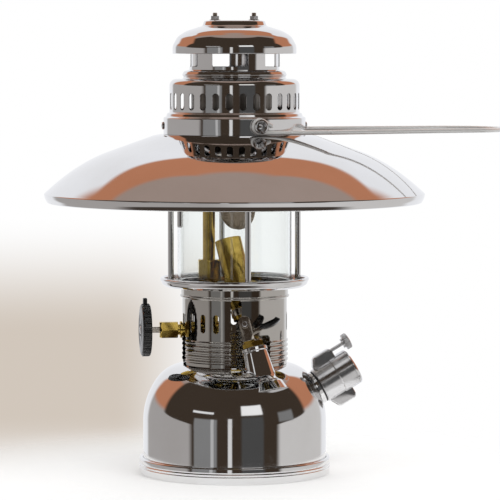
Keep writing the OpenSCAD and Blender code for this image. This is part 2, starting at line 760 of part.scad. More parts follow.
module reflector() color(chrome) spun_sheet(concat(
  [[reflector_r - 4, 240.5], [reflector_r - 0.8, 246.5], [reflector_r, 248.2],
   [reflector_r - 0.6, 250], [reflector_r - 4.5, 252.7]],
  [for (r = [158:-4:74]) [r, reflector_height(r)]],
  [[reflector_flat_r, deck_z], [52.6, deck_z]]), sheet);

module locating_pin() color(chrome) at_azimuth(-62) translate([54.2, 0, 0]) union() {
  rod(2.4, 222.4, post_top_z);
  translate([0, 0, 222.4]) sphere(r = 2.4);
}

hood_line = concat(
  [[band_r, deck_z], [band_r, 315], [band_r - 1, 316.4], [59.6, 317.4], [59.3, 319],
   [louvre_r, louvre_z[0]], [louvre_r, louvre_z[1]]],
  arc_points([louvre_r - 8.2, louvre_z[1] + 0.6], 8.2, 10, 80, 5),
  [[46.4, 350], [45.1, 351.6], [46, 353.4], [45.6, 355], [41.8, 357.6], [chimney_r, 358.4]]);

module hood() color(chrome) difference() {
  spun_sheet(hood_line, sheet);
  rod(chimney_r, 345, 365);
  for (i = [0:louvre_count - 1])
    radial_slot(-4.3 + i * 360 / louvre_count, louvre_r, 6.2, 323.1, 338);
  rotate([0, 0, bail_turn]) rotate([90, 0, 0]) translate([0, bail_z, 0]) rod(3.2, -70, 70);
  at_azimuth(bail_turn + 75) rotate([0, 90, 0]) translate([-309, 0, 0]) rod(1.5, -70, 70);
}

module chimney() color(chrome) difference() {
  tube(chimney_r, chimney_r - sheet, 352, 391.9);
  for (i = [0:window_count - 1]) let (middle = -5.7 + i * 360 / window_count)
    sector(middle - 23.5, middle + 23.5, 30, 45, 361, 385);
}

// Strap welded across the chimney's mouth, with the two studs that hold the cap.
module cap_bridge() color(steel) union() {
  intersection() {
    translate([-40, -8, 387.5]) cube([80, 16, 1.6]);
    rod(chimney_r - sheet, 387, 390);
  }
  for (x = [-stud_out, stud_out]) translate([x, 0, 0]) rod(2, 389, 408.6);
}

cap_line = concat(
  [[cap_r - 1.6, cap_rim_z - 0.6], [cap_r - 0.4, cap_rim_z - 0.4], [cap_r, cap_rim_z + 1],
   [cap_r - 0.3, 377.4], [cap_r - 1.3, 381], [cap_r - 3.5, 384.5], [cap_r - 7.1, 388],
   [43.5, 391.2], [35.3, 394.8], [27.6, 397.2], [27, 398.6], [26.4, plateau_z - 0.6],
   [25.6, plateau_z], [0, plateau_z]]);

module hood_cap() color(chrome) difference() {
  rotate_extrude() polygon(sheet_outline(cap_line, sheet));
  for (x = [-stud_out, stud_out]) translate([x, 0, 0]) rod(2.2, 380, 410);
}

module cap_nuts() color(chrome) for (x = [-stud_out, stud_out]) translate([x, 0, 0]) {
  difference() {
    union() {
      rod(4.85, plateau_z, plateau_z + 0.8);
      intersection() {
        hexagon(7, plateau_z + 0.8, plateau_z + 4);
        translate([0, 0, plateau_z]) cylinder(r1 = 5.2, r2 = 3.5, h = 4.2);
      }
    }
    rod(2, plateau_z - 1, plateau_z + 5);
  }
}

// Half of the bail, from its hooked tail round the stud and out to the round head.
function bail_half(side) = let (eye = [0, side * stud_y, 0], tail = 60, lean = 7,
    hook = function (a) eye + eye_r * [cos(a), 0, sin(a)]) concat(
  [hook(tail) + 8.5 * [sin(tail), 0, -cos(tail)]],
  [for (a = [tail:15:270]) hook(a)],
  [for (x = [25, 50, bail_straight - 5]) [x, side * stud_y, -eye_r]],
  [[bail_straight + 5, side * (stud_y - 0.6), -eye_r]],
  [for (a = [90 - lean:-7.5:0])
    [bail_head_x + bail_head_r * cos(a), side * bail_head_r * sin(a), -eye_r]]);

// Wire handle, at rest lying level toward the right.
module bail() color(chrome) rotate([0, 0, bail_turn]) translate([0, 0, bail_z])
  swept_wire(concat(bail_half(-1), [for (i = [len(bail_half(1)) - 1:-1:0]) bail_half(1)[i]]),
    bail_wire_r, 12, [0, 1, 0]);

module bail_studs() color(chrome) rotate([0, 0, bail_turn]) for (turn = [0, 180])
  rotate([0, 0, turn]) translate([0, 0, bail_z]) rotate([90, 0, 0]) difference() {
    union() {
      rod(3.2, 60, 69);
      rod(5, 60.2, 61.8);
      translate([0, 0, 68.6]) cylinder(r1 = 6, r2 = 6.2, h = 0.8);
      translate([0, 0, 69.4]) cylinder(r1 = 6.2, r2 = 4.8, h = 0.9);
    }
    translate([0, 0, 68.2]) cylinder(r1 = 1.6, r2 = 4.4, h = 2.2);
  }

module hood_screws() color(chrome) at_azimuth(bail_turn + 75) for (side = [0, 180])
  rotate([0, 0, side]) translate([0, 0, 309]) rotate([0, 90, 0]) difference() {
    union() {
      rod(1.5, 59, 63);
      translate([0, 0, band_r]) cylinder(r1 = 3.4, r2 = 2.4, h = 1.8);
    }
    translate([-4, -0.4, band_r + 1.1]) cube([8, 0.8, 2]);
  }

// ---- Assembly ---------------------------------------------------------------------------

base_ring();
tank_bottom();
tank_shell();
tank_neck();
filler_neck();
filler_gasket();
filler_cap();
gauge_bourdon();
gauge_dial();
gauge_pointer();
gauge_glass();
gauge_bezel();
vent_screw();
pump_barrel();
pump_valve();
pump_cap();
pump_rod();
pump_knob();
pump_cup();
pump_spring();
dip_tube();
valve_body();
gland_packing();
gland_nut();
spindle();
handwheel();
wheel_screw();
needle_rod();
vaporizer_nut();
vaporizer();
jet();
preheater_bushing();
preheater_nut();
preheater_body();
preheater_bracket();
preheater_rod();
lever_spindle();
preheater_lever();
lever_tip();
flame_tube();
collar();
cage_ring();
cage_posts();
cage_top_ring();
glass();
inner_casing();
mixing_tube();
gas_chamber();
ceramic_nozzle();
mantle();
reflector();
locating_pin();
hood();
chimney();
cap_bridge();
hood_cap();
cap_nuts();
bail();
bail_studs();
hood_screws();
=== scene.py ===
import math
import bmesh
import bpy
import numpy as np
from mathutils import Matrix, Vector
from mathutils.geometry import delaunay_2d_cdt


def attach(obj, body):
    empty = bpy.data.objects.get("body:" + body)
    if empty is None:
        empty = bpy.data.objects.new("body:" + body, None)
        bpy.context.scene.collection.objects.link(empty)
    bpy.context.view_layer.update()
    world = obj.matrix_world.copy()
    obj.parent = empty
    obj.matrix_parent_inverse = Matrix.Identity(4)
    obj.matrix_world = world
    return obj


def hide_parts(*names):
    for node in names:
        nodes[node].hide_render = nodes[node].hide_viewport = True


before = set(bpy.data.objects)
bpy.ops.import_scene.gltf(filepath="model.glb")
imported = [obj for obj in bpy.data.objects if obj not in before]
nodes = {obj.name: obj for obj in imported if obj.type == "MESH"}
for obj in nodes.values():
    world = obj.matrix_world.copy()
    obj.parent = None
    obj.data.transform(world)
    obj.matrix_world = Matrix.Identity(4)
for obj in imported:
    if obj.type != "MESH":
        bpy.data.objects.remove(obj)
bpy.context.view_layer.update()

mm = 0.001
print("lantern: frame loaded,", len(nodes), "nodes")

# The view: distances in millimetres, angles in degrees. The camera stands in front, a little
# to the right of the lantern's middle, and looks slightly down.
viewValues = {"distance": 2650.0, "height": 373.9, "right": 13.7, "pitch": 3.787, "lens": 215.35}

cameraData = bpy.data.cameras.new("camera")
cameraData.lens = viewValues["lens"]
cameraData.sensor_width = 36.0
cameraData.clip_end = 50.0
camera = bpy.data.objects.new("camera", cameraData)
bpy.context.scene.collection.objects.link(camera)
camera.location = (viewValues["right"] * mm, -viewValues["distance"] * mm,
                   viewValues["height"] * mm)
camera.rotation_euler = (math.radians(90 - viewValues["pitch"]), 0, 0)
bpy.context.scene.camera = camera
bpy.context.scene.view_settings.view_transform = "Standard"


# A surface is a dictionary: points (n, 3) in millimetres, faces as a list of index arrays,
# a finish number for each of those arrays, and normals, which are nan where Blender works
# them out from the faces.

def surface(points, faces, normals=None, kind=0):
    points = np.asarray(points, float).reshape(-1, 3)
    if normals is None:
        normals = np.full(points.shape, np.nan)
    faces = [np.asarray(f, int) for f in faces if len(f)]
    return {"points": points, "faces": faces, "kinds": [kind] * len(faces),
            "normals": np.asarray(normals, float).reshape(-1, 3)}


def turned(axis, degrees):
    c, s = math.cos(math.radians(degrees)), math.sin(math.radians(degrees))
    place = np.eye(4)
    i, j = {"X": (1, 2), "Y": (2, 0), "Z": (0, 1)}[axis]
    place[i, i], place[i, j], place[j, i], place[j, j] = c, -s, s, c
    return place


def moved(x, y, z):
    place = np.eye(4)
    place[:3, 3] = x, y, z
    return place


def placed(shape, place):
    return {**shape, "points": shape["points"] @ place[:3, :3].T + place[:3, 3],
            "normals": shape["normals"] @ place[:3, :3].T}


def joined(shapes):
    starts = np.cumsum([0] + [len(s["points"]) for s in shapes])
    return {"points": np.vstack([s["points"] for s in shapes]),
            "faces": [f + a for s, a in zip(shapes, starts) for f in s["faces"]],
            "kinds": [k for s in shapes for k in s["kinds"]],
            "normals": np.vstack([s["normals"] for s in shapes])}


# The same shape again at each of these turns about +Z.
def around(shape, turns):
    return joined([placed(shape, turned("Z", t)) for t in turns])


def unit(v):
    return v / np.maximum(np.linalg.norm(v, axis=-1, keepdims=True), 1e-12)


# Points that lie together become one, with the mean of their normals.
def welded(shape, grain=1e-4):
    keys = np.floor(shape["points"] / grain + 0.37).astype(np.int64)
    first, back = np.unique(keys, axis=0, return_index=True, return_inverse=True)[1:]
    back = back.ravel()
    total = np.zeros((len(first), 3))
    np.add.at(total, back, shape["normals"])
    return {**shape, "points": shape["points"][first], "normals": unit(total),
            "faces": [back[f] for f in shape["faces"]]}


# Rings of no radius become one point each, and the four-sided faces there lose a corner.
def closePoles(shape):
    shape = welded(shape)
    faces = np.vstack(shape["faces"])
    same = faces == np.roll(faces, -1, axis=1)
    whole, cut = faces[~same.any(1)], same.sum(1) == 1
    tris = faces[cut][~same[cut]].reshape(-1, 3)
    return surface(shape["points"], [whole, tris], shape["normals"])


def gridFaces(rows, columns, wrapRows=False, wrapColumns=True):
    r = np.arange(rows if wrapRows else rows - 1)
    c = np.arange(columns if wrapColumns else columns - 1)
    r, c = np.meshgrid(r, c, indexing="ij")
    r2, c2 = (r + 1) % rows, (c + 1) % columns
    return np.stack([r * columns + c, r * columns + c2, r2 * columns + c2, r2 * columns + c],
                    -1).reshape(-1, 4)


# Section rows are (r, z, normal r, normal z), where the normal is the left-hand one.
# bent gives a line of (r, z, corner radius) its rounded corners: the arc at a corner touches
# both sides at radius * tan(half the turn) from it.
def bent(line, closed=False, fineness=7.0):
    line = np.asarray(line, float)
    points, radii = line[:, :2], line[:, 2]
    before = unit(points - np.roll(points, 1, axis=0))
    after = unit(np.roll(points, -1, axis=0) - points)
    turn = np.arctan2(before[:, 0] * after[:, 1] - before[:, 1] * after[:, 0],
                      (before * after).sum(1))
    gap = np.linalg.norm(np.roll(points, -1, axis=0) - points, axis=1)
    reach = np.minimum(np.abs(radii * np.tan(turn / 2)), np.minimum(gap, np.roll(gap, 1)) * 0.499)
    rows = []
    for i, (p, a, b, t, d) in enumerate(zip(points, before, after, turn, reach)):
        if not closed and i in (0, len(points) - 1):
            way = b if i == 0 else a
            rows.append([[*p, -way[1], way[0]]])
            continue
        if d < 1e-6:
            rows.append([[*p, *unit(np.array([-a[1] - b[1], a[0] + b[0]]))]])
            continue
        left, radius = np.array([-a[1], a[0]]), d / abs(math.tan(t / 2))
        steps = np.linspace(0, t, max(2, int(abs(math.degrees(t)) / fineness) + 2))
        swung = np.stack([left[0] * np.cos(steps) - left[1] * np.sin(steps),
                          left[0] * np.sin(steps) + left[1] * np.cos(steps)], 1)
        centre = p - a * d + left * radius * np.sign(t)
        rows.append(np.hstack([centre - swung * radius * np.sign(t), swung]))
    return np.vstack(rows)


def arcRows(centre, radius, start, end, step=2.0):
    a = np.radians(np.linspace(start, end, max(2, int(abs(end - start) / step) + 1)))
    ray = np.stack([np.cos(a), np.sin(a)], 1)
    return np.hstack([centre + radius * ray, -ray * np.sign(end - start)])


# Rows of a smooth line, whose direction at a point is that from the point before to the next.
def curveRows(points):
    way = unit(np.gradient(np.asarray(points, float), axis=0, edge_order=2))
    return np.column_stack([points, -way[:, 1], way[:, 0]])


def linked(*parts):
    rows = np.vstack(parts)
    gap = np.linalg.norm(np.diff(rows[:, :2], axis=0), axis=1)
    return rows[np.concatenate([[True], gap > 1e-4])]


# More rows where two lie further apart than step.
def finer(rows, step):
    lengths = np.concatenate([[0], np.cumsum(np.linalg.norm(np.diff(rows[:, :2], axis=0), axis=1))])
    counts = np.maximum(1, np.ceil(np.diff(lengths) / step - 1e-6)).astype(int)
    at = np.concatenate([np.linspace(a, b, n, endpoint=False) for a, b, n in
                         zip(lengths[:-1], lengths[1:], counts)] + [lengths[-1:]])
    return np.stack([np.interp(at, lengths, rows[:, i]) for i in range(4)], 1), at


# A formed sheet's closed section: the line, the same line offset to its left by the thickness,
# and half circles round the two ends.
def sheetSection(rows, thickness, step=1.5):
    rows = finer(rows, step)[0]
    line, left, half = rows[:, :2], unit(rows[:, 2:]), thickness / 2
    bow = np.radians(np.linspace(0, 180, 9))[1:-1][:, None]

    def end(i, way):
        ahead = np.array([left[i][1], -left[i][0]]) * way
        ray = -left[i] * way * np.cos(bow) + ahead * np.sin(bow)
        return np.hstack([line[i] + left[i] * half + ray * half, ray])
    return np.vstack([np.hstack([line, -left]), end(-1, 1),
                      np.hstack([line + left * thickness, left])[::-1], end(0, -1)])


# A section turned about +Z: x = r cos a, y = r sin a.
def spun(rows, segments=96, closed=True):
    angles = np.linspace(0, 2 * np.pi, segments, endpoint=False)
    c, s, full = np.cos(angles), np.sin(angles), np.ones(segments)
    r, z, nr, nz = (rows[:, i:i + 1] for i in range(4))
    r = np.maximum(r, 0)
    points = np.stack([r * c, r * s, z * full], -1)
    normals = np.stack([nr * c, nr * s, nz * full], -1)
    shape = surface(points, [gridFaces(len(rows), segments, closed)], normals)
    return closePoles(shape) if (rows[:, 0] < 1e-6).any() else shape


def lathe(line, segments=96, closed=True, step=30.0):
    rows = bent(line, closed)
    if closed:
        rows = np.vstack([rows, rows[:1]])
        return spun(finer(rows, step)[0][:-1], segments, True)
    return spun(finer(rows, step)[0], segments, False)


# Round wire: circles of the given radius stand square to a smooth path, and their first
# direction is carried along it without twist. Its ends are domes of shrinking circles.
def wire(path, radius, sides=20, closed=False):
    path = np.asarray(path, float)
    radii = np.broadcast_to(np.asarray(radius, float), len(path)).copy()
    lean = np.zeros(len(path))
    if closed:
        along = unit(np.roll(path, -1, axis=0) - np.roll(path, 1, axis=0))
    else:
        along = unit(np.gradient(path, axis=0))
        bow = np.radians([90, 67, 45, 22])
        head = path[0] - along[0] * (radii[0] * np.sin(bow))[:, None]
        tail = path[-1] + along[-1] * (radii[-1] * np.sin(bow[::-1]))[:, None]
        path = np.vstack([head, path, tail])
        radii = np.concatenate([radii[0] * np.cos(bow), radii, radii[-1] * np.cos(bow[::-1])])
        lean = np.concatenate([-bow, lean, bow[::-1]])
        along = np.vstack([np.repeat(along[:1], 4, 0), along, np.repeat(along[-1:], 4, 0)])
    radii[radii < 1e-9] = 0
    across = np.zeros_like(path)
    start = np.cross(along[0], [0, 0, 1.0])
    across[0] = unit(start if np.linalg.norm(start) > 0.1 else np.cross(along[0], [0, 1.0, 0]))
    for i in range(1, len(path)):
        across[i] = unit(across[i - 1] - along[i] * (across[i - 1] @ along[i]))
    if closed:
        twist = math.atan2(np.cross(across[-1], across[0]) @ along[0], across[-1] @ across[0])
        shares = np.linspace(0, twist, len(path))[:, None]
        across = across * np.cos(shares) + np.cross(along, across) * np.sin(shares)
    up = np.cross(along, across)
    angles = np.linspace(0, 2 * np.pi, sides, endpoint=False)
    ring = (across[:, None] * np.cos(angles)[None, :, None]
            + up[:, None] * np.sin(angles)[None, :, None])
    normals = ring * np.cos(lean)[:, None, None] + (along * np.sin(lean)[:, None])[:, None]
    shape = surface(path[:, None] + ring * radii[:, None, None],
                    [gridFaces(len(path), sides, closed)], normals)
    return shape if closed else closePoles(shape)


# A smooth line through given points: each span is a cubic whose end slopes are half the
# distance between the neighbours.
def smoothLine(points, step=1.0):
    points = np.asarray(points, float)
    slopes = np.gradient(points, axis=0)
    out = []
    for i in range(len(points) - 1):
        count = max(2, int(np.linalg.norm(points[i + 1] - points[i]) / step) + 1)
        t = np.linspace(0, 1, count, endpoint=False)[:, None]
        out.append((2 * t**3 - 3 * t**2 + 1) * points[i] + (t**3 - 2 * t**2 + t) * slopes[i]
                   + (3 * t**2 - 2 * t**3) * points[i + 1] + (t**3 - t**2) * slopes[i + 1])
    return np.vstack(out + [points[-1:]])


def insidePolygon(points, polygon):
    x, y = points[:, 0][:, None], points[:, 1][:, None]
    a, b = polygon, np.roll(polygon, -1, axis=0)
    crosses = (a[:, 1] > y) != (b[:, 1] > y)
    rise = np.where(b[:, 1] == a[:, 1], 1e-12, b[:, 1] - a[:, 1])
    return (crosses & (x < (b[:, 0] - a[:, 0]) * (y - a[:, 1]) / rise + a[:, 0])).sum(1) % 2 == 1


def edgeDistance(points, polygon):
    a, b = polygon[None], np.roll(polygon, -1, axis=0)[None]
    p, d = points[:, None], b - a
    t = np.clip(((p - a) * d).sum(-1) / np.maximum((d * d).sum(-1), 1e-12), 0, 1)
    return np.linalg.norm(p - a - t[..., None] * d, axis=-1).min(1)


# A closed outline of (x, y, corner radius) as evenly spaced points.
def outline(line, spacing):
    rows = bent(line, closed=True, fineness=9.0)
    return finer(np.vstack([rows, rows[:1]]), spacing)[0][:-1, :2]


def corners(x0, y0, x1, y1, radius):
    return [(x0, y0, radius), (x1, y0, radius), (x1, y1, radius), (x0, y1, radius)]


# The edge of a flat cell that meets itself, or its neighbour, on its left and right sides;
# only the foot and the head are real edges.
def cellEdge(across, along):
    inner, count = along[1:-1], len(across)
    loop = np.vstack([np.stack([across, 0 * across], 1),
                      np.stack([across[-1] + 0 * inner, inner], 1),
                      np.stack([across[::-1], along[-1] + 0 * across], 1),
                      np.stack([0 * inner, inner[::-1]], 1)])
    free = np.zeros(len(loop), bool)
    free[:count] = True
    free[count + len(inner):2 * count + len(inner)] = True
    return loop, free


# Sheet metal cut to outlines in the flat and then formed. form(u, v, depth) gives the formed
# points, from depth 0 on the outside to 1 on the inside, and facing(u, v) the outward normals.
# The flat is filled with triangles on a grid, both sides are formed, and each cut edge is a
# shallow half round. free says which points of the outer loop are a real edge, not a seam.
def formedSheet(outer, holes, form, facing, across, along, free=None, bulge=0.12):
    loops = [np.asarray(loop, float) for loop in [outer, *holes]]
    grid = np.stack([a.ravel() for a in np.meshgrid(across, along)], 1)
    near = 0.4 * min(np.diff(across).min(), 0.9)
    grid = grid[insidePolygon(grid, loops[0])]
    for number, loop in enumerate(loops):
        close = ((grid > loop.min(0) - 1) & (grid < loop.max(0) + 1)).all(1)
        drop = np.zeros(len(grid), bool)
        drop[close] = edgeDistance(grid[close], loop) < near
        if number:
            drop[close] |= insidePolygon(grid[close], loop)
        grid = grid[~drop]
    flat = np.vstack(loops + [grid])
    starts = np.cumsum([0] + [len(loop) for loop in loops])
    edges = [(int(a + i), int(a + (i + 1) % len(loop))) for loop, a in zip(loops, starts)
             for i in range(len(loop))]
    out = delaunay_2d_cdt([Vector(p) for p in flat], edges, [], 0, 1e-7)
    made = np.array([flat[o[0]] if o else tuple(v) for v, o in zip(out[0], out[3])])
    tris = np.array([f for f in out[2] if len(f) == 3])
    middle = made[tris].mean(1)
    keep = insidePolygon(middle, loops[0])
    for hole in loops[1:]:
        keep &= ~insidePolygon(middle, hole)
    tris = tris[keep]
    u, v = made[:, 0], made[:, 1]
    out = facing(u, v)
    shapes = [surface(form(u, v, 0.0), [tris], out), surface(form(u, v, 1.0), [tris], -out)]
    depths = np.linspace(0, 1, 5)
    for number, loop in enumerate(loops):
        real = np.ones(len(loop), bool) if number or free is None else np.asarray(free)
        onward = unit(np.roll(loop, -1, axis=0) - loop)
        ahead = unit(onward * np.roll(real, -1)[:, None]
                     + np.roll(onward, 1, axis=0) * np.roll(real, 1)[:, None])
        x, y = loop.T
        sign = np.sign((x * np.roll(y, -1) - y * np.roll(x, -1)).sum()) * (-1 if number else 1)
        outward = np.stack([ahead[:, 1], -ahead[:, 0]], 1) * sign
        rows = [form(*(loop + outward * bulge * math.sin(math.pi * d)).T, d) for d in depths]
        faces = gridFaces(len(depths), len(loop))
        column = faces[:, 0] % len(loop)
        faces = faces[real[column] & real[(column + 1) % len(loop)]]
        shapes.append(surface(np.stack(rows), [faces]))
    whole = joined(shapes)
    used = np.zeros(len(whole["points"]), bool)
    for f in whole["faces"]:
        used[f.ravel()] = True
    new = np.cumsum(used) - 1
    return {**whole, "points": whole["points"][used], "normals": whole["normals"][used],
            "faces": [new[f] for f in whole["faces"]]}


# The forming that turns a flat sheet into one of revolution: v is the length along the
# section rows and u the length round a circle of the given radius.
def revolvedForm(rows, thickness, radius):
    rows, lengths = finer(rows, 1.0)

    def at(v):
        return [np.interp(v, lengths, rows[:, i]) for i in range(4)]

    def form(u, v, depth):
        r, z, nr, nz = at(v)
        r, z = r + nr * thickness * depth, z + nz * thickness * depth
        return np.stack([r * np.cos(u / radius), r * np.sin(u / radius), z], -1)

    def facing(u, v):
        r, z, nr, nz = at(v)
        return -unit(np.stack([nr * np.cos(u / radius), nr * np.sin(u / radius), nz], -1))
    return form, facing, lengths, lambda z: np.interp(z, rows[:, 1], lengths)


# A flat outline (x, y, corner radius) with a thickness, whose long edges are eased.
def plate(line, z0, z1, ease=0.25, spacing=50.0):
    loop = outline(line, spacing)
    x, y = loop.T
    if (x * np.roll(y, -1) - y * np.roll(x, -1)).sum() < 0:
        loop = loop[::-1]
    ahead = unit(np.roll(loop, -1, axis=0) - loop)
    behind = np.roll(ahead, 1, axis=0)
    mitre = np.stack([ahead[:, 1] + behind[:, 1], -ahead[:, 0] - behind[:, 0]], 1)
    mitre = mitre / np.maximum((mitre * mitre).sum(1, keepdims=True) / 2, 0.3)
    bow = np.radians([90, 60, 30, 0])
    levels = np.concatenate([z1 - ease + ease * np.sin(bow), z0 + ease - ease * np.sin(bow[::-1])])
    inset = np.concatenate([ease * (1 - np.cos(bow)), ease * (1 - np.cos(bow[::-1]))])
    rows = [np.column_stack([loop - mitre * i, np.full(len(loop), z)])
            for i, z in zip(inset, levels)]
    n = len(loop)
    return surface(np.stack(rows), [gridFaces(len(rows), n), np.arange(n)[None],
                                    (np.arange(n)[::-1] + (len(rows) - 1) * n)[None]])


# A chamfered hexagon: the flat lies at half the width over cos(a), with a folded into one
# sixth of a turn, and no point lies further out than the turned profile.
def hexagonNut(flats, line, perSide=14, closed=True):
    rows = bent(line, closed, fineness=9.0)
    rows = finer(np.vstack([rows, rows[:1]]) if closed else rows, 0.7)[0]
    rows = rows[:-1] if closed else rows
    angles = np.linspace(0, 2 * np.pi, 6 * perSide, endpoint=False)
    folded = (angles + np.pi / 6) % (np.pi / 3) - np.pi / 6
    r = np.minimum(rows[:, :1], (flats / 2 / np.cos(folded))[None])
    points = np.stack([r * np.cos(angles), r * np.sin(angles),
                       np.broadcast_to(rows[:, 1:2], r.shape)], -1)
    shape = surface(points, [gridFaces(len(rows), len(angles), closed)])
    return closePoles(shape) if (rows[:, 0] < 1e-6).any() else shape


# Helpers for node trees. Every finish reads Object coordinates, which are metres on each piece.
def setInputs(tree, node, inputs):
    for name, value in inputs.items():
        if isinstance(value, bpy.types.NodeSocket):
            tree.links.new(value, node.inputs[name])
        else:
            node.inputs[name].default_value = value
    return node


def addNode(tree, kind, inputs=None, **values):
    node = tree.nodes.new(kind)
    for name, value in values.items():
        setattr(node, name, value)
    return setInputs(tree, node, inputs or {})


def maths(tree, kind, *values):
    return addNode(tree, "ShaderNodeMath", dict(enumerate(values)), operation=kind).outputs[0]


def mapped(tree, value, start, end, low=0.0, high=1.0, kind="LINEAR"):
    return addNode(tree, "ShaderNodeMapRange", {
        "Value": value, "From Min": start, "From Max": end, "To Min": low, "To Max": high},
        interpolation_type=kind).outputs[0]


def noise(tree, vector, scale, detail, **more):
    return addNode(tree, "ShaderNodeTexNoise", {"Vector": vector, "Scale": scale,
                                                "Detail": detail, **more}).outputs["Fac"]


def relief(tree, height, strength, distance, **more):
    return addNode(tree, "ShaderNodeBump", {"Height": height, "Strength": strength,
                                            "Distance": distance, **more}).outputs["Normal"]


# The Mix node's colour sockets are its inputs 6 and 7 and its output 2.
def blendColours(tree, share, first, second):
    return addNode(tree, "ShaderNodeMix", {0: share, 6: first, 7: second},
                   data_type="RGBA").outputs[2]


def newGroup(name, inputs, outputs):
    tree = bpy.data.node_groups.new(name, "ShaderNodeTree")
    for label, kind, value in inputs:
        socket = tree.interface.new_socket(label, in_out="INPUT", socket_type=kind)
        if value is not None:
            socket.default_value = value
    for label, kind in outputs:
        tree.interface.new_socket(label, in_out="OUTPUT", socket_type=kind)
    return tree, tree.nodes.new("NodeGroupInput").outputs, tree.nodes.new("NodeGroupOutput")


def useGroup(tree, group, inputs):
    return addNode(tree, "ShaderNodeGroup", inputs, node_tree=group).outputs


floatSocket, colourSocket, vectorSocket = "NodeSocketFloat", "NodeSocketColor", "NodeSocketVector"


# Handling marks: soft smudges lift the roughness, and hairline scratches follow the contour
# lines of a wide noise, where that noise is within a hair of one half.
def makeHandling():
    tree, given, result = newGroup("handling", [
        ("Vector", vectorSocket, None), ("Smudge Scale", floatSocket, 30.0),
        ("Clean", floatSocket, 0.05), ("Smudged", floatSocket, 0.12),
        ("Scratches", floatSocket, 0.3)], [("Roughness", floatSocket), ("Height", floatSocket)])
    smudge = noise(tree, given["Vector"], given["Smudge Scale"], 5.0, Roughness=0.62,
                   Distortion=0.6)
    spread = mapped(tree, smudge, 0.46, 0.74, given["Clean"], given["Smudged"])
    lines = []
    for scale, turn in ((24.0, 0.4), (41.0, 2.1)):
        way = addNode(tree, "ShaderNodeMapping", {"Vector": given["Vector"],
                                                  "Rotation": (turn, turn * 2, 0.3),
                                                  "Scale": (1.0, 1.0, 0.35)})
        wide = noise(tree, way.outputs["Vector"], scale, 2.0)
        off = maths(tree, "ABSOLUTE", maths(tree, "SUBTRACT", wide, 0.5))
        lines.append(mapped(tree, off, 0.0, 0.0016, 1.0, 0.0))
    patch = mapped(tree, smudge, 0.5, 0.62)
    kept = maths(tree, "MULTIPLY", maths(tree, "MAXIMUM", *lines), patch)
    seen = maths(tree, "MULTIPLY", kept, given["Scratches"])
    setInputs(tree, result, {"Roughness": maths(tree, "MULTIPLY_ADD", seen, 0.12, spread),
                             "Height": seen})
    return tree


# Drawing or turning marks: noise squeezed along two axes and stretched along the third.
def makeDrawnLines():
    tree, given, result = newGroup("drawnLines", [
        ("Vector", vectorSocket, None), ("Across", floatSocket, 900.0),
        ("Along", floatSocket, 12.0)], [("Height", floatSocket), ("Streaks", floatSocket)])
    parts = addNode(tree, "ShaderNodeSeparateXYZ", {"Vector": given["Vector"]}).outputs
    scaled = [maths(tree, "MULTIPLY", part, given[scale])
              for part, scale in zip(parts, ("Across", "Across", "Along"))]
    again = addNode(tree, "ShaderNodeCombineXYZ", dict(enumerate(scaled))).outputs[0]
    setInputs(tree, result, {"Height": noise(tree, again, 1.0, 3.0, Roughness=0.6),
                             "Streaks": noise(tree, again, 0.16, 2.0)})
    return tree


# Cast or moulded skin: fine grain with a few small pits.
def makeCastGrain():
    tree, given, result = newGroup("castGrain", [
        ("Vector", vectorSocket, None), ("Scale", floatSocket, 700.0), ("Pits", floatSocket, 0.5)],
        [("Height", floatSocket), ("Pit Mask", floatSocket)])
    grain = noise(tree, given["Vector"], given["Scale"], 4.0)
    coarse = maths(tree, "MULTIPLY", given["Scale"], 0.35)
    cells = addNode(tree, "ShaderNodeTexVoronoi", {"Vector": given["Vector"], "Scale": coarse})
    pit = mapped(tree, cells.outputs["Distance"], 0.05, 0.16, 1.0, 0.0)
    depth = maths(tree, "MULTIPLY", pit, given["Pits"])
    setInputs(tree, result, {"Height": maths(tree, "SUBTRACT", grain, depth), "Pit Mask": depth})
    return tree


# Two shades of one metal, shared out by a soft noise: tarnish, heat and hard-to-reach places.
def makeShading():
    tree, given, result = newGroup("twoShades", [
        ("Vector", vectorSocket, None), ("Scale", floatSocket, 20.0), ("Clean", colourSocket, None),
        ("Dull", colourSocket, None), ("Share", floatSocket, 0.5)], [("Color", colourSocket)])
    cloud = noise(tree, given["Vector"], given["Scale"], 6.0, Roughness=0.6)
    mask = maths(tree, "MULTIPLY", mapped(tree, cloud, 0.35, 0.7), given["Share"])
    setInputs(tree, result, {"Color": blendColours(tree, mask, given["Clean"], given["Dull"])})
    return tree


handling, drawnLines = makeHandling(), makeDrawnLines()
castGrain, twoShades = makeCastGrain(), makeShading()


def startFinish(name):
    material = bpy.data.materials.new(name)
    material.use_nodes = True
    tree = material.node_tree
    return material, tree, tree.nodes["Principled BSDF"], tree.nodes.new(
        "ShaderNodeTexCoord").outputs["Object"]


def handlingMarks(tree, vector, v, scale=60.0):
    return useGroup(tree, handling, {
        "Vector": vector, "Smudge Scale": scale, "Clean": v["clean"], "Smudged": v["smudged"],
        "Scratches": v["scratches"]})


def shadesOf(tree, vector, v):
    return useGroup(tree, twoShades, {
        "Vector": vector, "Scale": v["shadeScale"], "Clean": (*v["colour"], 1),
        "Dull": (*v["dull"], 1), "Share": v["share"]})["Color"]


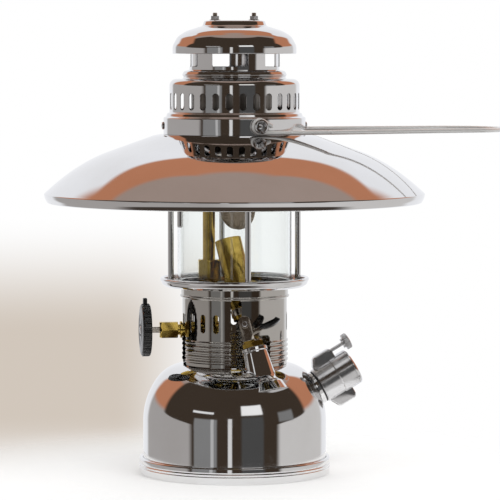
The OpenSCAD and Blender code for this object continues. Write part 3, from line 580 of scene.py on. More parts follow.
# Polished or satin metal. Its bumps come from scratches and, where they are given, from waves
# in the sheet, cast grain, and drawing or turning marks.
def metalFinish(name, v):
    material, tree, shader, vector = startFinish(name)
    if "axis" in v:
        vector = addNode(tree, "ShaderNodeMapping", {"Vector": vector,
                                                     "Rotation": v["axis"]}).outputs[0]
    marks = handlingMarks(tree, vector, v, v["smudgeScale"])
    colour = shadesOf(tree, vector, v)
    normal = relief(tree, marks["Height"], 0.06, 0.00005)
    if "waves" in v:
        waves = noise(tree, vector, v["waveScale"], 1.0)
        normal = relief(tree, waves, v["waves"], 0.001, Normal=normal)
    if "grain" in v:
        cast = useGroup(tree, castGrain, {"Vector": vector, "Scale": v["grainScale"],
                                          "Pits": v["pits"]})
        normal = relief(tree, cast["Height"], v["grain"], 0.0002, Normal=normal)
        colour = blendColours(tree, cast["Pit Mask"], colour, (*v["dull"], 1))
    if "drawn" in v:
        lines = useGroup(tree, drawnLines, {"Vector": vector, "Across": v["across"],
                                            "Along": v["along"]})
        normal = relief(tree, lines["Height"], v["drawn"], 0.0001, Normal=normal)
        streak = mapped(tree, lines["Streaks"], 0.35, 0.7, 0.0, v["streaks"])
        colour = blendColours(tree, streak, colour, (*v["dull"], 1))
    setInputs(tree, shader, {"Base Color": colour, "Roughness": marks["Roughness"],
                             "Normal": normal, "Metallic": v.get("metal", 1.0)})
    return material


# Moulded, pressed or fired parts that aren't metal.
def plainFinish(name, v):
    material, tree, shader, vector = startFinish(name)
    marks = handlingMarks(tree, vector, v)
    cast = useGroup(tree, castGrain, {"Vector": vector, "Scale": v["grainScale"],
                                      "Pits": v["pits"]})
    setInputs(tree, shader, {
        "Base Color": shadesOf(tree, vector, v), "Roughness": marks["Roughness"],
        "Normal": relief(tree, cast["Height"], v["grain"], 0.0002), "IOR": 1.5})
    return material


def withChanges(base, **changes):
    return {**base, **changes}


chromeValues = {"colour": (0.80, 0.80, 0.81), "dull": (0.66, 0.64, 0.61), "share": 0.35,
                "shadeScale": 14.0, "clean": 0.035, "smudged": 0.085, "smudgeScale": 26.0,
                "scratches": 0.5}
chromePlate = metalFinish("chromePlate", chromeValues)
pressedChrome = metalFinish("pressedChrome", withChanges(
    chromeValues, waves=0.10, waveScale=42.0, clean=0.045))
wireChrome = metalFinish("wireChrome", withChanges(
    chromeValues, clean=0.30, smudged=0.38, smudgeScale=60.0, colour=(0.80, 0.80, 0.79),
    metal=0.55))
# Painted shade: the collar's chrome is the plate chrome made darker and warmer, for the shade it
# lies in under the cage ring.
shadedCollarChrome = metalFinish("shadedCollarChrome", withChanges(
    chromeValues, waves=0.12, waveScale=42.0, clean=0.05, colour=(0.50, 0.48, 0.45)))
castChrome = metalFinish("castChrome", withChanges(
    chromeValues, colour=(0.72, 0.72, 0.73), dull=(0.42, 0.42, 0.42), clean=0.17, smudged=0.27,
    smudgeScale=90.0, grain=0.10, grainScale=900.0, pits=0.35))
nickelSteel = metalFinish("nickelSteel", withChanges(
    chromeValues, colour=(0.60, 0.56, 0.50), dull=(0.36, 0.31, 0.26), share=0.7, shadeScale=60.0,
    clean=0.12, smudged=0.22))
innerSteel = metalFinish("innerSteel", withChanges(
    chromeValues, colour=(0.42, 0.40, 0.38), dull=(0.20, 0.17, 0.14), share=0.9, shadeScale=40.0,
    clean=0.30, smudged=0.48))
brassValues = {"colour": (0.72, 0.52, 0.13), "dull": (0.36, 0.22, 0.03), "share": 0.6,
               "shadeScale": 55.0, "clean": 0.10, "smudged": 0.22, "smudgeScale": 80.0,
               "scratches": 0.8}
brassTurned = metalFinish("brassTurned", withChanges(
    brassValues, drawn=0.10, across=60.0, along=2600.0, streaks=0.25))
brassDrawn = metalFinish("brassDrawn", withChanges(
    brassValues, clean=0.15, smudged=0.26, drawn=0.22, across=1500.0, along=14.0, streaks=0.6))
flameBrass = metalFinish("flameBrass", withChanges(
    brassValues, clean=0.17, smudged=0.27, drawn=0.25, across=1300.0, along=10.0, streaks=0.65,
    axis=(math.radians(-13.9), math.radians(-13.7), 0)))
blackMoulding = plainFinish("blackMoulding", {
    "colour": (0.006, 0.006, 0.006), "dull": (0.016, 0.016, 0.015), "share": 0.5,
    "shadeScale": 90.0, "clean": 0.22, "smudged": 0.36, "scratches": 0.9, "grainScale": 1600.0,
    "grain": 0.10, "pits": 0.2})
rubber = plainFinish("rubber", {
    "colour": (0.02, 0.02, 0.02), "dull": (0.05, 0.05, 0.048), "share": 0.6, "shadeScale": 70.0,
    "clean": 0.55, "smudged": 0.7, "scratches": 0.2, "grainScale": 1200.0, "grain": 0.2,
    "pits": 0.1})
leather = plainFinish("leather", {
    "colour": (0.22, 0.11, 0.05), "dull": (0.10, 0.05, 0.02), "share": 0.8, "shadeScale": 120.0,
    "clean": 0.45, "smudged": 0.6, "scratches": 0.2, "grainScale": 900.0, "grain": 0.5,
    "pits": 0.8})
ceramic = plainFinish("ceramic", {
    "colour": (0.80, 0.76, 0.68), "dull": (0.62, 0.55, 0.44), "share": 0.5, "shadeScale": 120.0,
    "clean": 0.55, "smudged": 0.75, "scratches": 0.0, "grainScale": 1800.0, "grain": 0.35,
    "pits": 0.8})
dialPaint = plainFinish("dialPaint", {
    "colour": (0.82, 0.81, 0.77), "dull": (0.72, 0.69, 0.60), "share": 0.4, "shadeScale": 80.0,
    "clean": 0.30, "smudged": 0.45, "scratches": 0.0, "grainScale": 2500.0, "grain": 0.06,
    "pits": 0.0})


# Clear glass with faint waves, thin enough to show what stands behind it.
def glassFinish(name, v):
    material, tree, shader, vector = startFinish(name)
    waves = noise(tree, vector, v["waveScale"], 2.0)
    setInputs(tree, shader, {
        "Base Color": (*v["colour"], 1), "Normal": relief(tree, waves, v["waves"], 0.001),
        "Roughness": handlingMarks(tree, vector, v, 30.0)["Roughness"],
        "Transmission Weight": 1.0, "IOR": 1.47})
    return material


# Knitted silk: two crossing wave patterns make the weave, with a warm mottle over it.
def silkFinish(name, v):
    material, tree, shader, vector = startFinish(name)
    waves = [addNode(tree, "ShaderNodeTexWave", {"Vector": vector, "Scale": v["threads"],
                                                 "Distortion": 1.5, "Detail": 1.0},
                     wave_type="BANDS", bands_direction=way).outputs["Fac"]
             for way in ("Z", "DIAGONAL")]
    weave = maths(tree, "MULTIPLY", *waves)
    colour = blendColours(tree, mapped(tree, weave, 0.0, 1.0, 0.55, 0.0),
                          shadesOf(tree, vector, v), (*v["gap"], 1))
    setInputs(tree, shader, {"Base Color": colour, "Roughness": 0.85,
                             "Normal": relief(tree, weave, 0.5, 0.0002)})
    return material


clearGlass = glassFinish("clearGlass", {
    "colour": (0.97, 0.99, 0.985), "waves": 0.02, "waveScale": 26.0, "clean": 0.0, "smudged": 0.03,
    "scratches": 0.4})
silk = silkFinish("silk", {
    "colour": (0.66, 0.54, 0.42), "dull": (0.44, 0.33, 0.22), "gap": (0.16, 0.11, 0.07),
    "shadeScale": 140.0, "share": 0.8, "threads": 420.0})
inkValues = {"colour": (0.02, 0.02, 0.02), "dull": (0.05, 0.05, 0.05), "share": 0.4,
             "shadeScale": 200.0, "clean": 0.35, "smudged": 0.5, "scratches": 0.0,
             "grainScale": 2000.0, "grain": 0.05, "pits": 0.0}
dialInk = plainFinish("dialInk", inkValues)
pointerBlack = plainFinish("pointerBlack", withChanges(inkValues, clean=0.25, smudged=0.4))
packing = plainFinish("packing", withChanges(
    inkValues, colour=(0.09, 0.085, 0.075), dull=(0.05, 0.05, 0.045), clean=0.7, smudged=0.85,
    grain=0.5, pits=0.8))
print("lantern: finishes made")


# Makes the Blender object. Faces are turned outwards, and the known normals are given to their
# corners; a zero normal leaves that corner to Blender.
def addPiece(name, shapes, finishes, body, stands=(), sharp=36.0):
    whole = joined(shapes if isinstance(shapes, list) else [shapes])
    sizes = np.concatenate([np.full(len(f), f.shape[1]) for f in whole["faces"]])
    loops = np.concatenate([f.ravel() for f in whole["faces"]])
    mesh = bpy.data.meshes.new(name)
    mesh.vertices.add(len(whole["points"]))
    mesh.vertices.foreach_set("co", (whole["points"] * mm).ravel())
    mesh.loops.add(len(loops))
    mesh.loops.foreach_set("vertex_index", loops)
    mesh.polygons.add(len(sizes))
    mesh.polygons.foreach_set("loop_start", np.cumsum(sizes) - sizes)
    mesh.polygons.foreach_set("material_index",
                              np.repeat(whole["kinds"], [len(f) for f in whole["faces"]]))
    mesh.update(calc_edges=True)
    work = bmesh.new()
    work.from_mesh(mesh)
    bmesh.ops.recalc_face_normals(work, faces=work.faces)
    work.to_mesh(mesh)
    work.free()
    mesh.shade_smooth()
    mesh.set_sharp_from_angle(angle=math.radians(sharp))
    vertices, counts = np.empty(len(mesh.loops), int), np.empty(len(mesh.polygons), int)
    mesh.loops.foreach_get("vertex_index", vertices)
    mesh.polygons.foreach_get("loop_total", counts)
    facing = np.empty(len(mesh.polygons) * 3)
    mesh.polygons.foreach_get("normal", facing)
    facing = np.repeat(facing.reshape(-1, 3), counts, axis=0)
    normals = np.nan_to_num(whole["normals"][vertices])
    normals[(normals * facing).sum(1) < 0] *= -1
    if np.abs(normals).any():
        mesh.normals_split_custom_set(normals)
    for finish in finishes if isinstance(finishes, list) else [finishes]:
        mesh.materials.append(finish)
    piece = bpy.data.objects.new(name, mesh)
    bpy.context.scene.collection.objects.link(piece)
    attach(piece, body)
    if stands:
        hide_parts(*stands)
    return piece


# Where the leaning parts stand, each with its own +Z along its axis.
def atAzimuth(a):
    return turned("Z", a - 90)


controlAzimuth, stemOut, spindleHeight = -82.4, 22.9, 128.2
filler = atAzimuth(100.7) @ moved(77.2, 0, 75.6) @ turned("Y", 60)
pumpSeat = 31.5 * math.sqrt(0.5)
pump = atAzimuth(180) @ moved(43.4 + pumpSeat, 0, 66.25 + pumpSeat) @ turned("Y", 45)
preheater = moved(21.9, -43, 95) @ turned("Y", -13.7) @ turned("X", -13.9)
stem = atAzimuth(controlAzimuth) @ moved(stemOut, 0, 0)
spindle = atAzimuth(controlAzimuth) @ moved(0, 0, spindleHeight) @ turned("Y", 90)

# Tank: straight wall, long arc, tighter arc and flat crown, with the rolled ring at its foot.
tankValues = {"radius": 81.4, "domeRadius": 64.0, "domeStart": 46.75, "edgeRadius": 31.5,
              "sheet": 1.0}


def makeTank(v):
    low = np.array([v["radius"] - v["domeRadius"], v["domeStart"]])
    high = low + np.array([0.8, 0.6]) * (v["domeRadius"] - v["edgeRadius"])
    bend, crown = math.degrees(math.atan2(0.6, 0.8)), high[1] + v["edgeRadius"]
    rows = linked([[v["radius"], 9.2, -1, 0], [v["radius"], v["domeStart"], -1, 0]],
                  arcRows(low, v["domeRadius"], 0, bend), arcRows(high, v["edgeRadius"], bend, 90),
                  [[1.5, crown, 0, -1]])
    addPiece("tankDome", spun(sheetSection(rows, v["sheet"], 6.0), 224), chromePlate, "lantern",
             ["tank_shell"])


makeTank(tankValues)

baseRingLine = [(81.5, 9.0, 0.4), (81.5, 14.3, 0.3), (82.0, 15.0, 0.7), (84.8, 14.7, 2.0),
                (85.0, 10.6, 0.3), (84.3, 9.6, 0.5), (85.0, 8.7, 0.3), (85.0, 7.6, 0.2),
                (84.5, 7.0, 0.4), (85.0, 6.4, 0.3), (85.0, 0.0, 1.5), (81.8, 0.0, 0.7),
                (81.8, 1.6, 0.4), (83.6, 2.2, 0.6), (83.6, 9.0, 0.5)]
addPiece("baseRing", lathe(baseRingLine, 224), chromePlate, "lantern", ["base_ring"])

# Reflector: the height falls by 0.36 a millimetre outside the flat seat, and faster and faster
# outside radius 112; the rim turns down and inwards, and ends in a rolled hem.
reflectorValues = {"seat": 68.3, "seatHeight": 301.5, "slope": 0.36, "bend": 0.00514,
                   "bendFrom": 112.0, "hole": 53.0, "edge": 166.6, "sheet": 0.8}


def makeReflector(v):
    r = np.arange(v["seat"] + 6, v["edge"], 2.0)
    height = (v["seatHeight"] - v["slope"] * (r - v["seat"])
              - v["bend"] * np.maximum(0, r - v["bendFrom"]) ** 2)
    t = np.linspace(0, 1, 14)[:, None]
    seat, first = np.array([v["seat"] - 6, v["seatHeight"]]), np.array([r[0], height[0]])
    knee = (1 - t) ** 2 * seat + 2 * t * (1 - t) * [v["seat"], v["seatHeight"]] + t ** 2 * first
    rim = bent([(r[-1], height[-1], 0), (168.7, height[-1] - 2.2, 1.5), (168.0, 245.2, 9.0),
                (165.6, 240.9, 1.6), (163.0, 241.4, 0.8), (163.7, 243.4, 0)], fineness=5.0)
    rows = linked([[v["hole"], v["seatHeight"], 0, 1]], curveRows(knee),
                  curveRows(np.stack([r, height], 1)), rim)
    rows = rows[::-1] * [1, 1, -1, -1]
    addPiece("reflectorShade", spun(sheetSection(rows, v["sheet"], 3.0), 240), chromePlate,
             "lantern", ["reflector"])


makeReflector(reflectorValues)
print("lantern: tank and reflector made")

# Hood: one cell of the formed sheet holds one slot, and goes round thirty times.
hoodValues = {"slots": 30, "slotWidth": 6.2, "slotFoot": 323.1, "slotHead": 338.0,
              "firstSlot": -4.3, "radius": 57.6, "sheet": 0.8}
hoodLine = [(62.9, 301.6, 0), (62.9, 316.2, 1.4), (60.4, 317.2, 1.2), (59.6, 319.9, 1.2),
            (57.6, 320.7, 0.9), (57.6, 350.0, 9.4), (46.2, 350.3, 1.1), (45.0, 351.9, 0.9),
            (46.4, 353.7, 1.4), (44.8, 357.0, 1.8), (40.3, 358.3, 0)]


def makeHood(v):
    form, facing, lengths, lengthAt = revolvedForm(bent(hoodLine), v["sheet"], v["radius"])
    width = 2 * math.pi * v["radius"] / v["slots"]
    across = np.linspace(0, width, 9)
    foot, head, half = lengthAt(v["slotFoot"]), lengthAt(v["slotHead"]), v["slotWidth"] / 2
    slotLine = outline(corners(width / 2 - half, foot, width / 2 + half, head, half), 1.3)
    outer, free = cellEdge(across, lengths)
    cell = formedSheet(outer, [slotLine], form, facing, across[1:-1], lengths[1:-1], free)
    turns = v["firstSlot"] - 90 - 180 / v["slots"] + 360 / v["slots"] * np.arange(v["slots"])
    addPiece("hoodShell", welded(around(cell, turns)), pressedChrome, "lantern", ["hood"])


makeHood(hoodValues)

# Chimney: five windows between broad bars.
chimneyValues = {"windows": 5, "halfWindow": 23.5, "foot": 361.0, "head": 385.0,
                 "corner": 1.6, "firstWindow": -5.7, "radius": 39.8, "sheet": 0.8}


def makeChimney(v):
    rows = bent([(v["radius"], 352.0, 0), (v["radius"], 391.8, 0)])
    form, facing, lengths, lengthAt = revolvedForm(rows, v["sheet"], v["radius"])
    width = 2 * math.pi * v["radius"] / v["windows"]
    across, along = np.linspace(0, width, 33), np.linspace(0, lengths[-1], 15)
    half = math.radians(v["halfWindow"]) * v["radius"]
    foot, head = lengthAt(v["foot"]), lengthAt(v["head"])
    window = outline(corners(width / 2 - half, foot, width / 2 + half, head, v["corner"]), 1.5)
    outer, free = cellEdge(across, along)
    cell = formedSheet(outer, [window], form, facing, across[1:-1], along[1:-1], free)
    turns = (v["firstWindow"] - 90 - 180 / v["windows"]
             + 360 / v["windows"] * np.arange(v["windows"]))
    addPiece("chimneyTube", welded(around(cell, turns)), pressedChrome, "lantern", ["chimney"])


makeChimney(chimneyValues)

capLine = [(53.2, 372.3, 0), (54.8, 372.3, 0.7), (54.8, 379.4, 9.0), (50.4, 387.4, 9.0),
           (43.0, 392.4, 26.0), (28.4, 396.9, 2.2), (26.9, 401.1, 1.0), (24.6, 401.7, 2.0),
           (1.0, 401.7, 0)]
addPiece("capDome", spun(sheetSection(bent(capLine, fineness=3.0), 0.8, 4.0), 192), chromePlate,
         "lantern", ["hood_cap"])


# Cap: two studs with fine threads on a strap carry it, each with a nut and a washer.
capNutValues = {
    "apart": 17.2, "flats": 7.0, "stud": 2.0, "pitch": 0.7, "threadDepth": 0.16,
    "nut": [(2.1, 402.6, 0.1), (4.2, 402.6, 0.3), (4.05, 405.7, 0.5), (2.1, 405.7, 0.2)],
    "washer": [(2.1, 401.75, 0.1), (4.85, 401.75, 0.3), (4.85, 402.55, 0.3), (2.1, 402.55, 0.1)],
    "studFoot": 389.5, "threadHead": 408.2, "studHead": 408.6,
    "strap": corners(-38.6, -7.6, 38.6, 7.6, 1),
    "strapFoot": 387.5, "strapHead": 389.1}


def makeCapNuts(v):
    places = [moved(x, 0, 0) for x in (-v["apart"], v["apart"])]
    nut = joined([hexagonNut(v["flats"], v["nut"]), lathe(v["washer"], 40)])
    addPiece("capNuts", [placed(nut, p) for p in places], castChrome, "lantern", ["cap_nuts"])
    z = np.arange(v["studFoot"], v["threadHead"], 0.05)
    thread = v["stud"] + v["threadDepth"] * np.cos(2 * math.pi * z / v["pitch"])
    rows = np.vstack([[[0, v["studFoot"], 1, 0]], curveRows(np.stack([thread, z], 1)),
                      [[1.6, v["studHead"], 0, -1], [0, v["studHead"], 0, -1]]])
    studs = [placed(spun(rows, 20, False), p) for p in places]
    strap = plate(v["strap"], v["strapFoot"], v["strapHead"])
    addPiece("capStuds", studs + [strap], nickelSteel, "lantern", ["cap_bridge"])


makeCapNuts(capNutValues)
print("lantern: hood made")

# Bail: a coil round each stud, straight legs and a round head, tilted to the row of the studs.
bailValues = {"wire": 2.0, "eye": 5.6, "out": 66.0, "straight": 75.0, "headRadius": 50.0,
              "headAt": 205.0, "turn": 19.8, "height": 309.5, "tail": 60.0}


def makeBail(v):
    place = turned("Z", v["turn"]) @ moved(0, 0, v["height"])

    def half(side):
        angles = np.radians(np.arange(v["tail"], 271, 5))
        hook = np.stack([v["eye"] * np.cos(angles), side * v["out"] + 0 * angles,
                         v["eye"] * np.sin(angles)], 1)
        tail = math.radians(v["tail"])
        end = hook[0] + 8.5 * np.array([math.sin(tail), 0, -math.cos(tail)])
        leg = np.linspace([2, side * v["out"], -v["eye"]], [v["straight"] - 8, side * v["out"],
                                                            -v["eye"]], 12)
        sweep = np.radians(np.arange(83, -0.1, -2.5))
        head = np.stack([v["headAt"] + v["headRadius"] * np.cos(sweep),
                         side * v["headRadius"] * np.sin(sweep), 0 * sweep - v["eye"]], 1)
        return np.vstack([smoothLine([end, (end + hook[0]) / 2, hook[0]], 1.5)[:-1], hook,
                          smoothLine(np.vstack([leg, [[v["straight"] + 5, side * (v["out"] - 0.5),
                                                       -v["eye"]]], head]), 2.5)])
    near, far = half(-1), half(1)
    addPiece("bailWire", placed(wire(np.vstack([near, far[::-1][1:]]), v["wire"], 20), place),
             wireChrome, "handle", ["bail"])
    eyelet = [(2.3, 0.2, 0.3), (4.3, 2.6, 0.5), (5.0, 3.0, 0.4), (6.4, 2.4, 0.8), (6.3, 1.0, 0.5),
              (3.3, 0.9, 0.2), (3.2, -8.4, 0.1), (1.9, -8.4, 0.1)]
    flange = [(3.25, -8.4, 0.1), (5.0, -8.4, 0.3), (5.0, -6.6, 0.4), (3.25, -6.6, 0.1)]
    stud = placed(joined([lathe(eyelet, 56), lathe(flange, 40)]), moved(0, 0, 67.6))
    studs = [placed(stud, place @ turned("Z", t) @ turned("X", 90)) for t in (0, 180)]
    addPiece("bailStuds", studs, castChrome, "lantern", ["bail_studs"])


makeBail(bailValues)


# Slotted pan head: a dome over a disk, cut across by a slot whose floor lies below its rim.
def slottedHead(radius, height, slotWidth, rings=14, sides=48):
    t = np.linspace(0, 1, rings)
    r = np.concatenate([radius * np.sin(t * math.pi / 2), [radius, radius * 0.96, 0]])
    z = np.concatenate([height * (0.35 + 0.65 * np.cos(t * math.pi / 2)), [0.05, 0, 0]])
    a = np.linspace(0, 2 * np.pi, sides, endpoint=False)
    x, y = r[:, None] * np.cos(a), r[:, None] * np.sin(a)
    depth = np.where(np.abs(y) < slotWidth / 2, height * 0.55, 0)
    z = np.maximum(z[:, None] - depth, np.minimum(z, 0.0)[:, None])
    return closePoles(surface(np.stack([x, y, z], -1), [gridFaces(len(r), sides)]))


hoodScrewValues = {"radius": 3.4, "height": 1.9, "slot": 0.9, "azimuth": 94.8, "out": 62.9,
                   "at": 309}


def makeHoodScrews(v):
    head = slottedHead(v["radius"], v["height"], v["slot"])
    place = moved(v["out"], 0, v["at"]) @ turned("Y", 90)
    screws = [placed(head, atAzimuth(v["azimuth"] + t) @ place) for t in (0, 180)]
    addPiece("hoodScrews", screws, castChrome, "lantern", ["hood_screws"])


makeHoodScrews(hoodScrewValues)
print("lantern: bail made")

# Collar: one sheet with five rolled ribs, a bead and a wider band, cut out in the flat.
collarValues = {"radius": 46.5, "foot": 97.75, "top": 166.4, "band": 47.6, "sheet": 0.6,
                "ribs": 5, "firstRib": 101.0, "ribPitch": 4.2, "slotWidth": 5.4,
                "slotFoot": 127.6, "slotHead": 144.1, "slotPitch": 16.2, "seam": 60.0}


def makeCollar(v):
    ribs = [(r, v["firstRib"] + v["ribPitch"] * i + dz, c) for i in range(v["ribs"])
            for r, dz, c in ((v["radius"], -0.45, 0.5), (v["radius"] + 0.9, 0.25, 0.95),
                             (v["radius"] + 0.9, 1.85, 0.95), (v["radius"], 2.55, 0.5))]
    line = [(v["radius"], v["foot"], 0), *ribs, (v["radius"], 156.9, 0.5), (48.5, 157.5, 0.9),
            (48.5, 159.1, 0.9), (v["band"], 159.7, 0.4), (v["band"], v["top"], 0)]
    form, facing, lengths, lengthAt = revolvedForm(bent(line, fineness=14.0), v["sheet"],
                                                   v["radius"])

    def at(azimuth, z, corner=0.0):
        return (v["radius"] * math.radians(azimuth - 90), float(lengthAt(z)), corner)
    seam, top = v["seam"], v["top"]
    outer = outline([at(seam - 360, v["foot"]), at(-97.4, v["foot"], 2.5), at(-97.4, 143, 3),
                     at(-67.4, 143, 3), at(-67.4, v["foot"], 2.5), at(-4, v["foot"], 2.5),
                     at(-4, 157, 2.4), at(8, 157, 2.4), at(8, 141.5, 1.6), at(18.5, 141.5, 2.4),
                     at(18.5, 126, 1.6), at(42, 126, 3.2), at(42, v["foot"], 2.5),
                     at(seam, v["foot"]), at(seam, top), at(seam - 360, top)], 1.5)
    left, right = at(seam - 360, 100)[0], at(seam, 100)[0]
    onSeam = (np.abs(outer[:, 0] - left) < 1e-6) | (np.abs(outer[:, 0] - right) < 1e-6)
    ends = (outer[:, 1] < 1e-6) | (outer[:, 1] > lengths[-1] - 1e-6)
    half = v["slotWidth"] / 2
    slots = []
    for azimuth in [-20.3 - v["slotPitch"] * i for i in range(3)] + [
            -114 - v["slotPitch"] * i for i in range(11)]:
        x = at(azimuth, 100)[0]
        foot, head = float(lengthAt(v["slotFoot"])), float(lengthAt(v["slotHead"]))
        slots.append(outline(corners(x - half, foot, x + half, head, half), 1.2))
    across = np.linspace(left, right, 160)[1:-1]
    shell = formedSheet(outer, slots, form, facing, across, lengths[1:-1], ~onSeam | ends)
    addPiece("collarShell", welded(shell), shadedCollarChrome, "lantern", ["collar"])


makeCollar(collarValues)


# A ring whose section is a box with eased edges.
def ringOf(inner, outer, z0, z1, ease=0.3, segments=160):
    return lathe([(inner, z0, ease), (outer, z0, ease), (outer, z1, ease), (inner, z1, ease)],
                 segments)


# Dished ring: the sheet runs out under the glass, turns up and rolls over into the rim bead.
cageValues = {"rim": 66.1, "rimHeight": 173.0, "bead": 1.75, "floor": 166.4, "sheet": 0.9,
              "postCircle": 57.5, "post": 2.65, "firstPost": 12.0}


def makeCage(v):
    dish = bent([(41.0, v["floor"], 0), (61.0, v["floor"], 2.6), (64.2, v["floor"] + 2.2, 2.6),
                 (v["rim"] - 0.5, v["rimHeight"] - 1.0, 1.2), (v["rim"] - 0.9, v["rimHeight"], 0)])
    turn = np.radians(np.arange(0, 360, 2))
    reach = v["rim"] - v["bead"]
    beadPath = np.stack([reach * np.cos(turn), reach * np.sin(turn), v["rimHeight"] + 0 * turn], 1)
    addPiece("cageRing", [spun(sheetSection(dish, v["sheet"], 1.5), 224),
                          wire(beadPath, v["bead"], 22, closed=True),
                          ringOf(45.2, 46.0, 161.4, 166.8, 0.35),
                          ringOf(47.6, 48.4, 166.8, 172, 0.38)],
             chromePlate, "lantern", ["cage_ring"])
    foot = v["floor"] + 1
    post = lathe([(0, foot, 0), (4.1, foot, 0.2), (4.1, foot + 1.6, 0.5), (2.9, foot + 1.9, 0.3),
                  (v["post"], foot + 3.2, 0.6), (v["post"], 295.4, 0.4), (3.6, 296, 0.3),
                  (3.6, 298, 0.3), (0, 298, 0)], 40, closed=False)
    posts = [placed(post, atAzimuth(v["firstPost"] + 90 * i) @ moved(v["postCircle"], 0, 0))
             for i in range(4)]
    addPiece("cagePosts", posts, chromePlate, "lantern", ["cage_posts"])
    pin = lathe([(0, 220, 0), (2.4, 220, 2.3), (2.4, 297.7, 0.3), (0, 298, 0)], 36, closed=False)
    addPiece("locatingPin", placed(pin, atAzimuth(-62) @ moved(54.2, 0, 0)), chromePlate,
             "lantern", ["locating_pin"])


makeCage(cageValues)

glassLine = [(49.0, 167.45, 0.6), (50.6, 167.45, 0.6), (50.6, 291.0, 0.79), (49.0, 291.0, 0.79)]
addPiece("glassCylinder", lathe(glassLine, 192), clearGlass, "lantern", ["glass"])

# Mantle: the profile is gathered, so the radius swells and shrinks round it as a cosine whose
# share grows towards the tied foot and the tied neck.
mantleValues = {
    "offset": 3.0, "gathers": 17, "depth": 0.075, "wall": 0.45, "tie": 9.95, "tieHeight": 256.3,
    "line": [(0.6, 217.8), (2.6, 217.0), (7.4, 218.6), (12.2, 223.4), (14.7, 230.4), (14.9, 237.5),
             (13.9, 245.5), (12.2, 251.0), (10.6, 254.2), (9.75, 256.0), (9.9, 257.6)]}


def makeMantle(v):
    line = smoothLine(v["line"], 0.8)
    along = np.concatenate([[0], np.cumsum(np.linalg.norm(np.diff(line, axis=0), axis=1))])
    share = along / along[-1]
    gather = v["depth"] * (0.22 + 1.5 * np.exp(-(share / 0.22) ** 2)
                           + 1.2 * np.exp(-((1 - share) / 0.16) ** 2))
    angles = np.linspace(0, 2 * np.pi, 272, endpoint=False)
    wander = 0.35 * np.sin(3 * angles + 1.1) + 0.25 * np.sin(5 * angles)
    folds = (np.abs(np.cos(v["gathers"] / 2 * angles + wander)) - 0.6)[None] * gather[:, None]
    sway = 1 + 0.018 * np.sin(2 * angles + 5 * share[:, None])

    def skin(inset):
        r = np.maximum(line[:, :1] * (1 + folds) * sway - inset, 0.15)
        z = line[:, 1:] + 0.25 * np.sin(2 * angles + 0.7)[None] * (1 - share[:, None])
        return np.stack([r * np.cos(angles), r * np.sin(angles), z + 0 * r], -1)
    points = np.concatenate([skin(0.0), skin(v["wall"])[::-1]])
    bag = surface(points, [gridFaces(len(points), len(angles), wrapRows=True)])
    cord = np.radians(np.arange(0, 360, 4))
    tie = wire(np.stack([v["tie"] * np.cos(cord), v["tie"] * np.sin(cord),
                         v["tieHeight"] + 0.2 * np.sin(3 * cord)], 1), 0.35, 8, closed=True)
    addPiece("mantleBag", placed(joined([bag, tie]), moved(v["offset"], 0, 0)), silk, "lantern",
             ["mantle"], sharp=80)


makeMantle(mantleValues)
print("lantern: frame, glass and mantle made")


# A turned form whose edge is cut by round notches. A notch is a circle of radius cut, centred
# at out: along a ray at angle a from it the metal ends at
# out cos a - sqrt(cut^2 - out^2 sin^2 a).
def notchedWheel(line, count, out, cut, perNotch=18, phase=0.5, closed=True):
    rows = bent(line, closed, fineness=9.0)
    rows = finer(np.vstack([rows, rows[:1]]) if closed else rows, 1.0)[0]
    rows = rows[:-1] if closed else rows
    angles = np.linspace(0, 2 * np.pi, count * perNotch, endpoint=False)
    pitch = 2 * np.pi / count
    a = (angles - phase * pitch + pitch / 2) % pitch - pitch / 2
    off = out * np.sin(a)
    edge = np.where(np.abs(off) < cut,
                    out * np.cos(a) - np.sqrt(np.maximum(cut ** 2 - off ** 2, 0)), 1e3)
    r = np.minimum(rows[:, :1], edge[None])
    points = np.stack([r * np.cos(angles), r * np.sin(angles),
                       np.broadcast_to(rows[:, 1:2], r.shape)], -1)
    shape = surface(points, [gridFaces(len(rows), len(angles), closed)])
    return closePoles(shape) if (rows[:, 0] < 1e-6).any() else shape


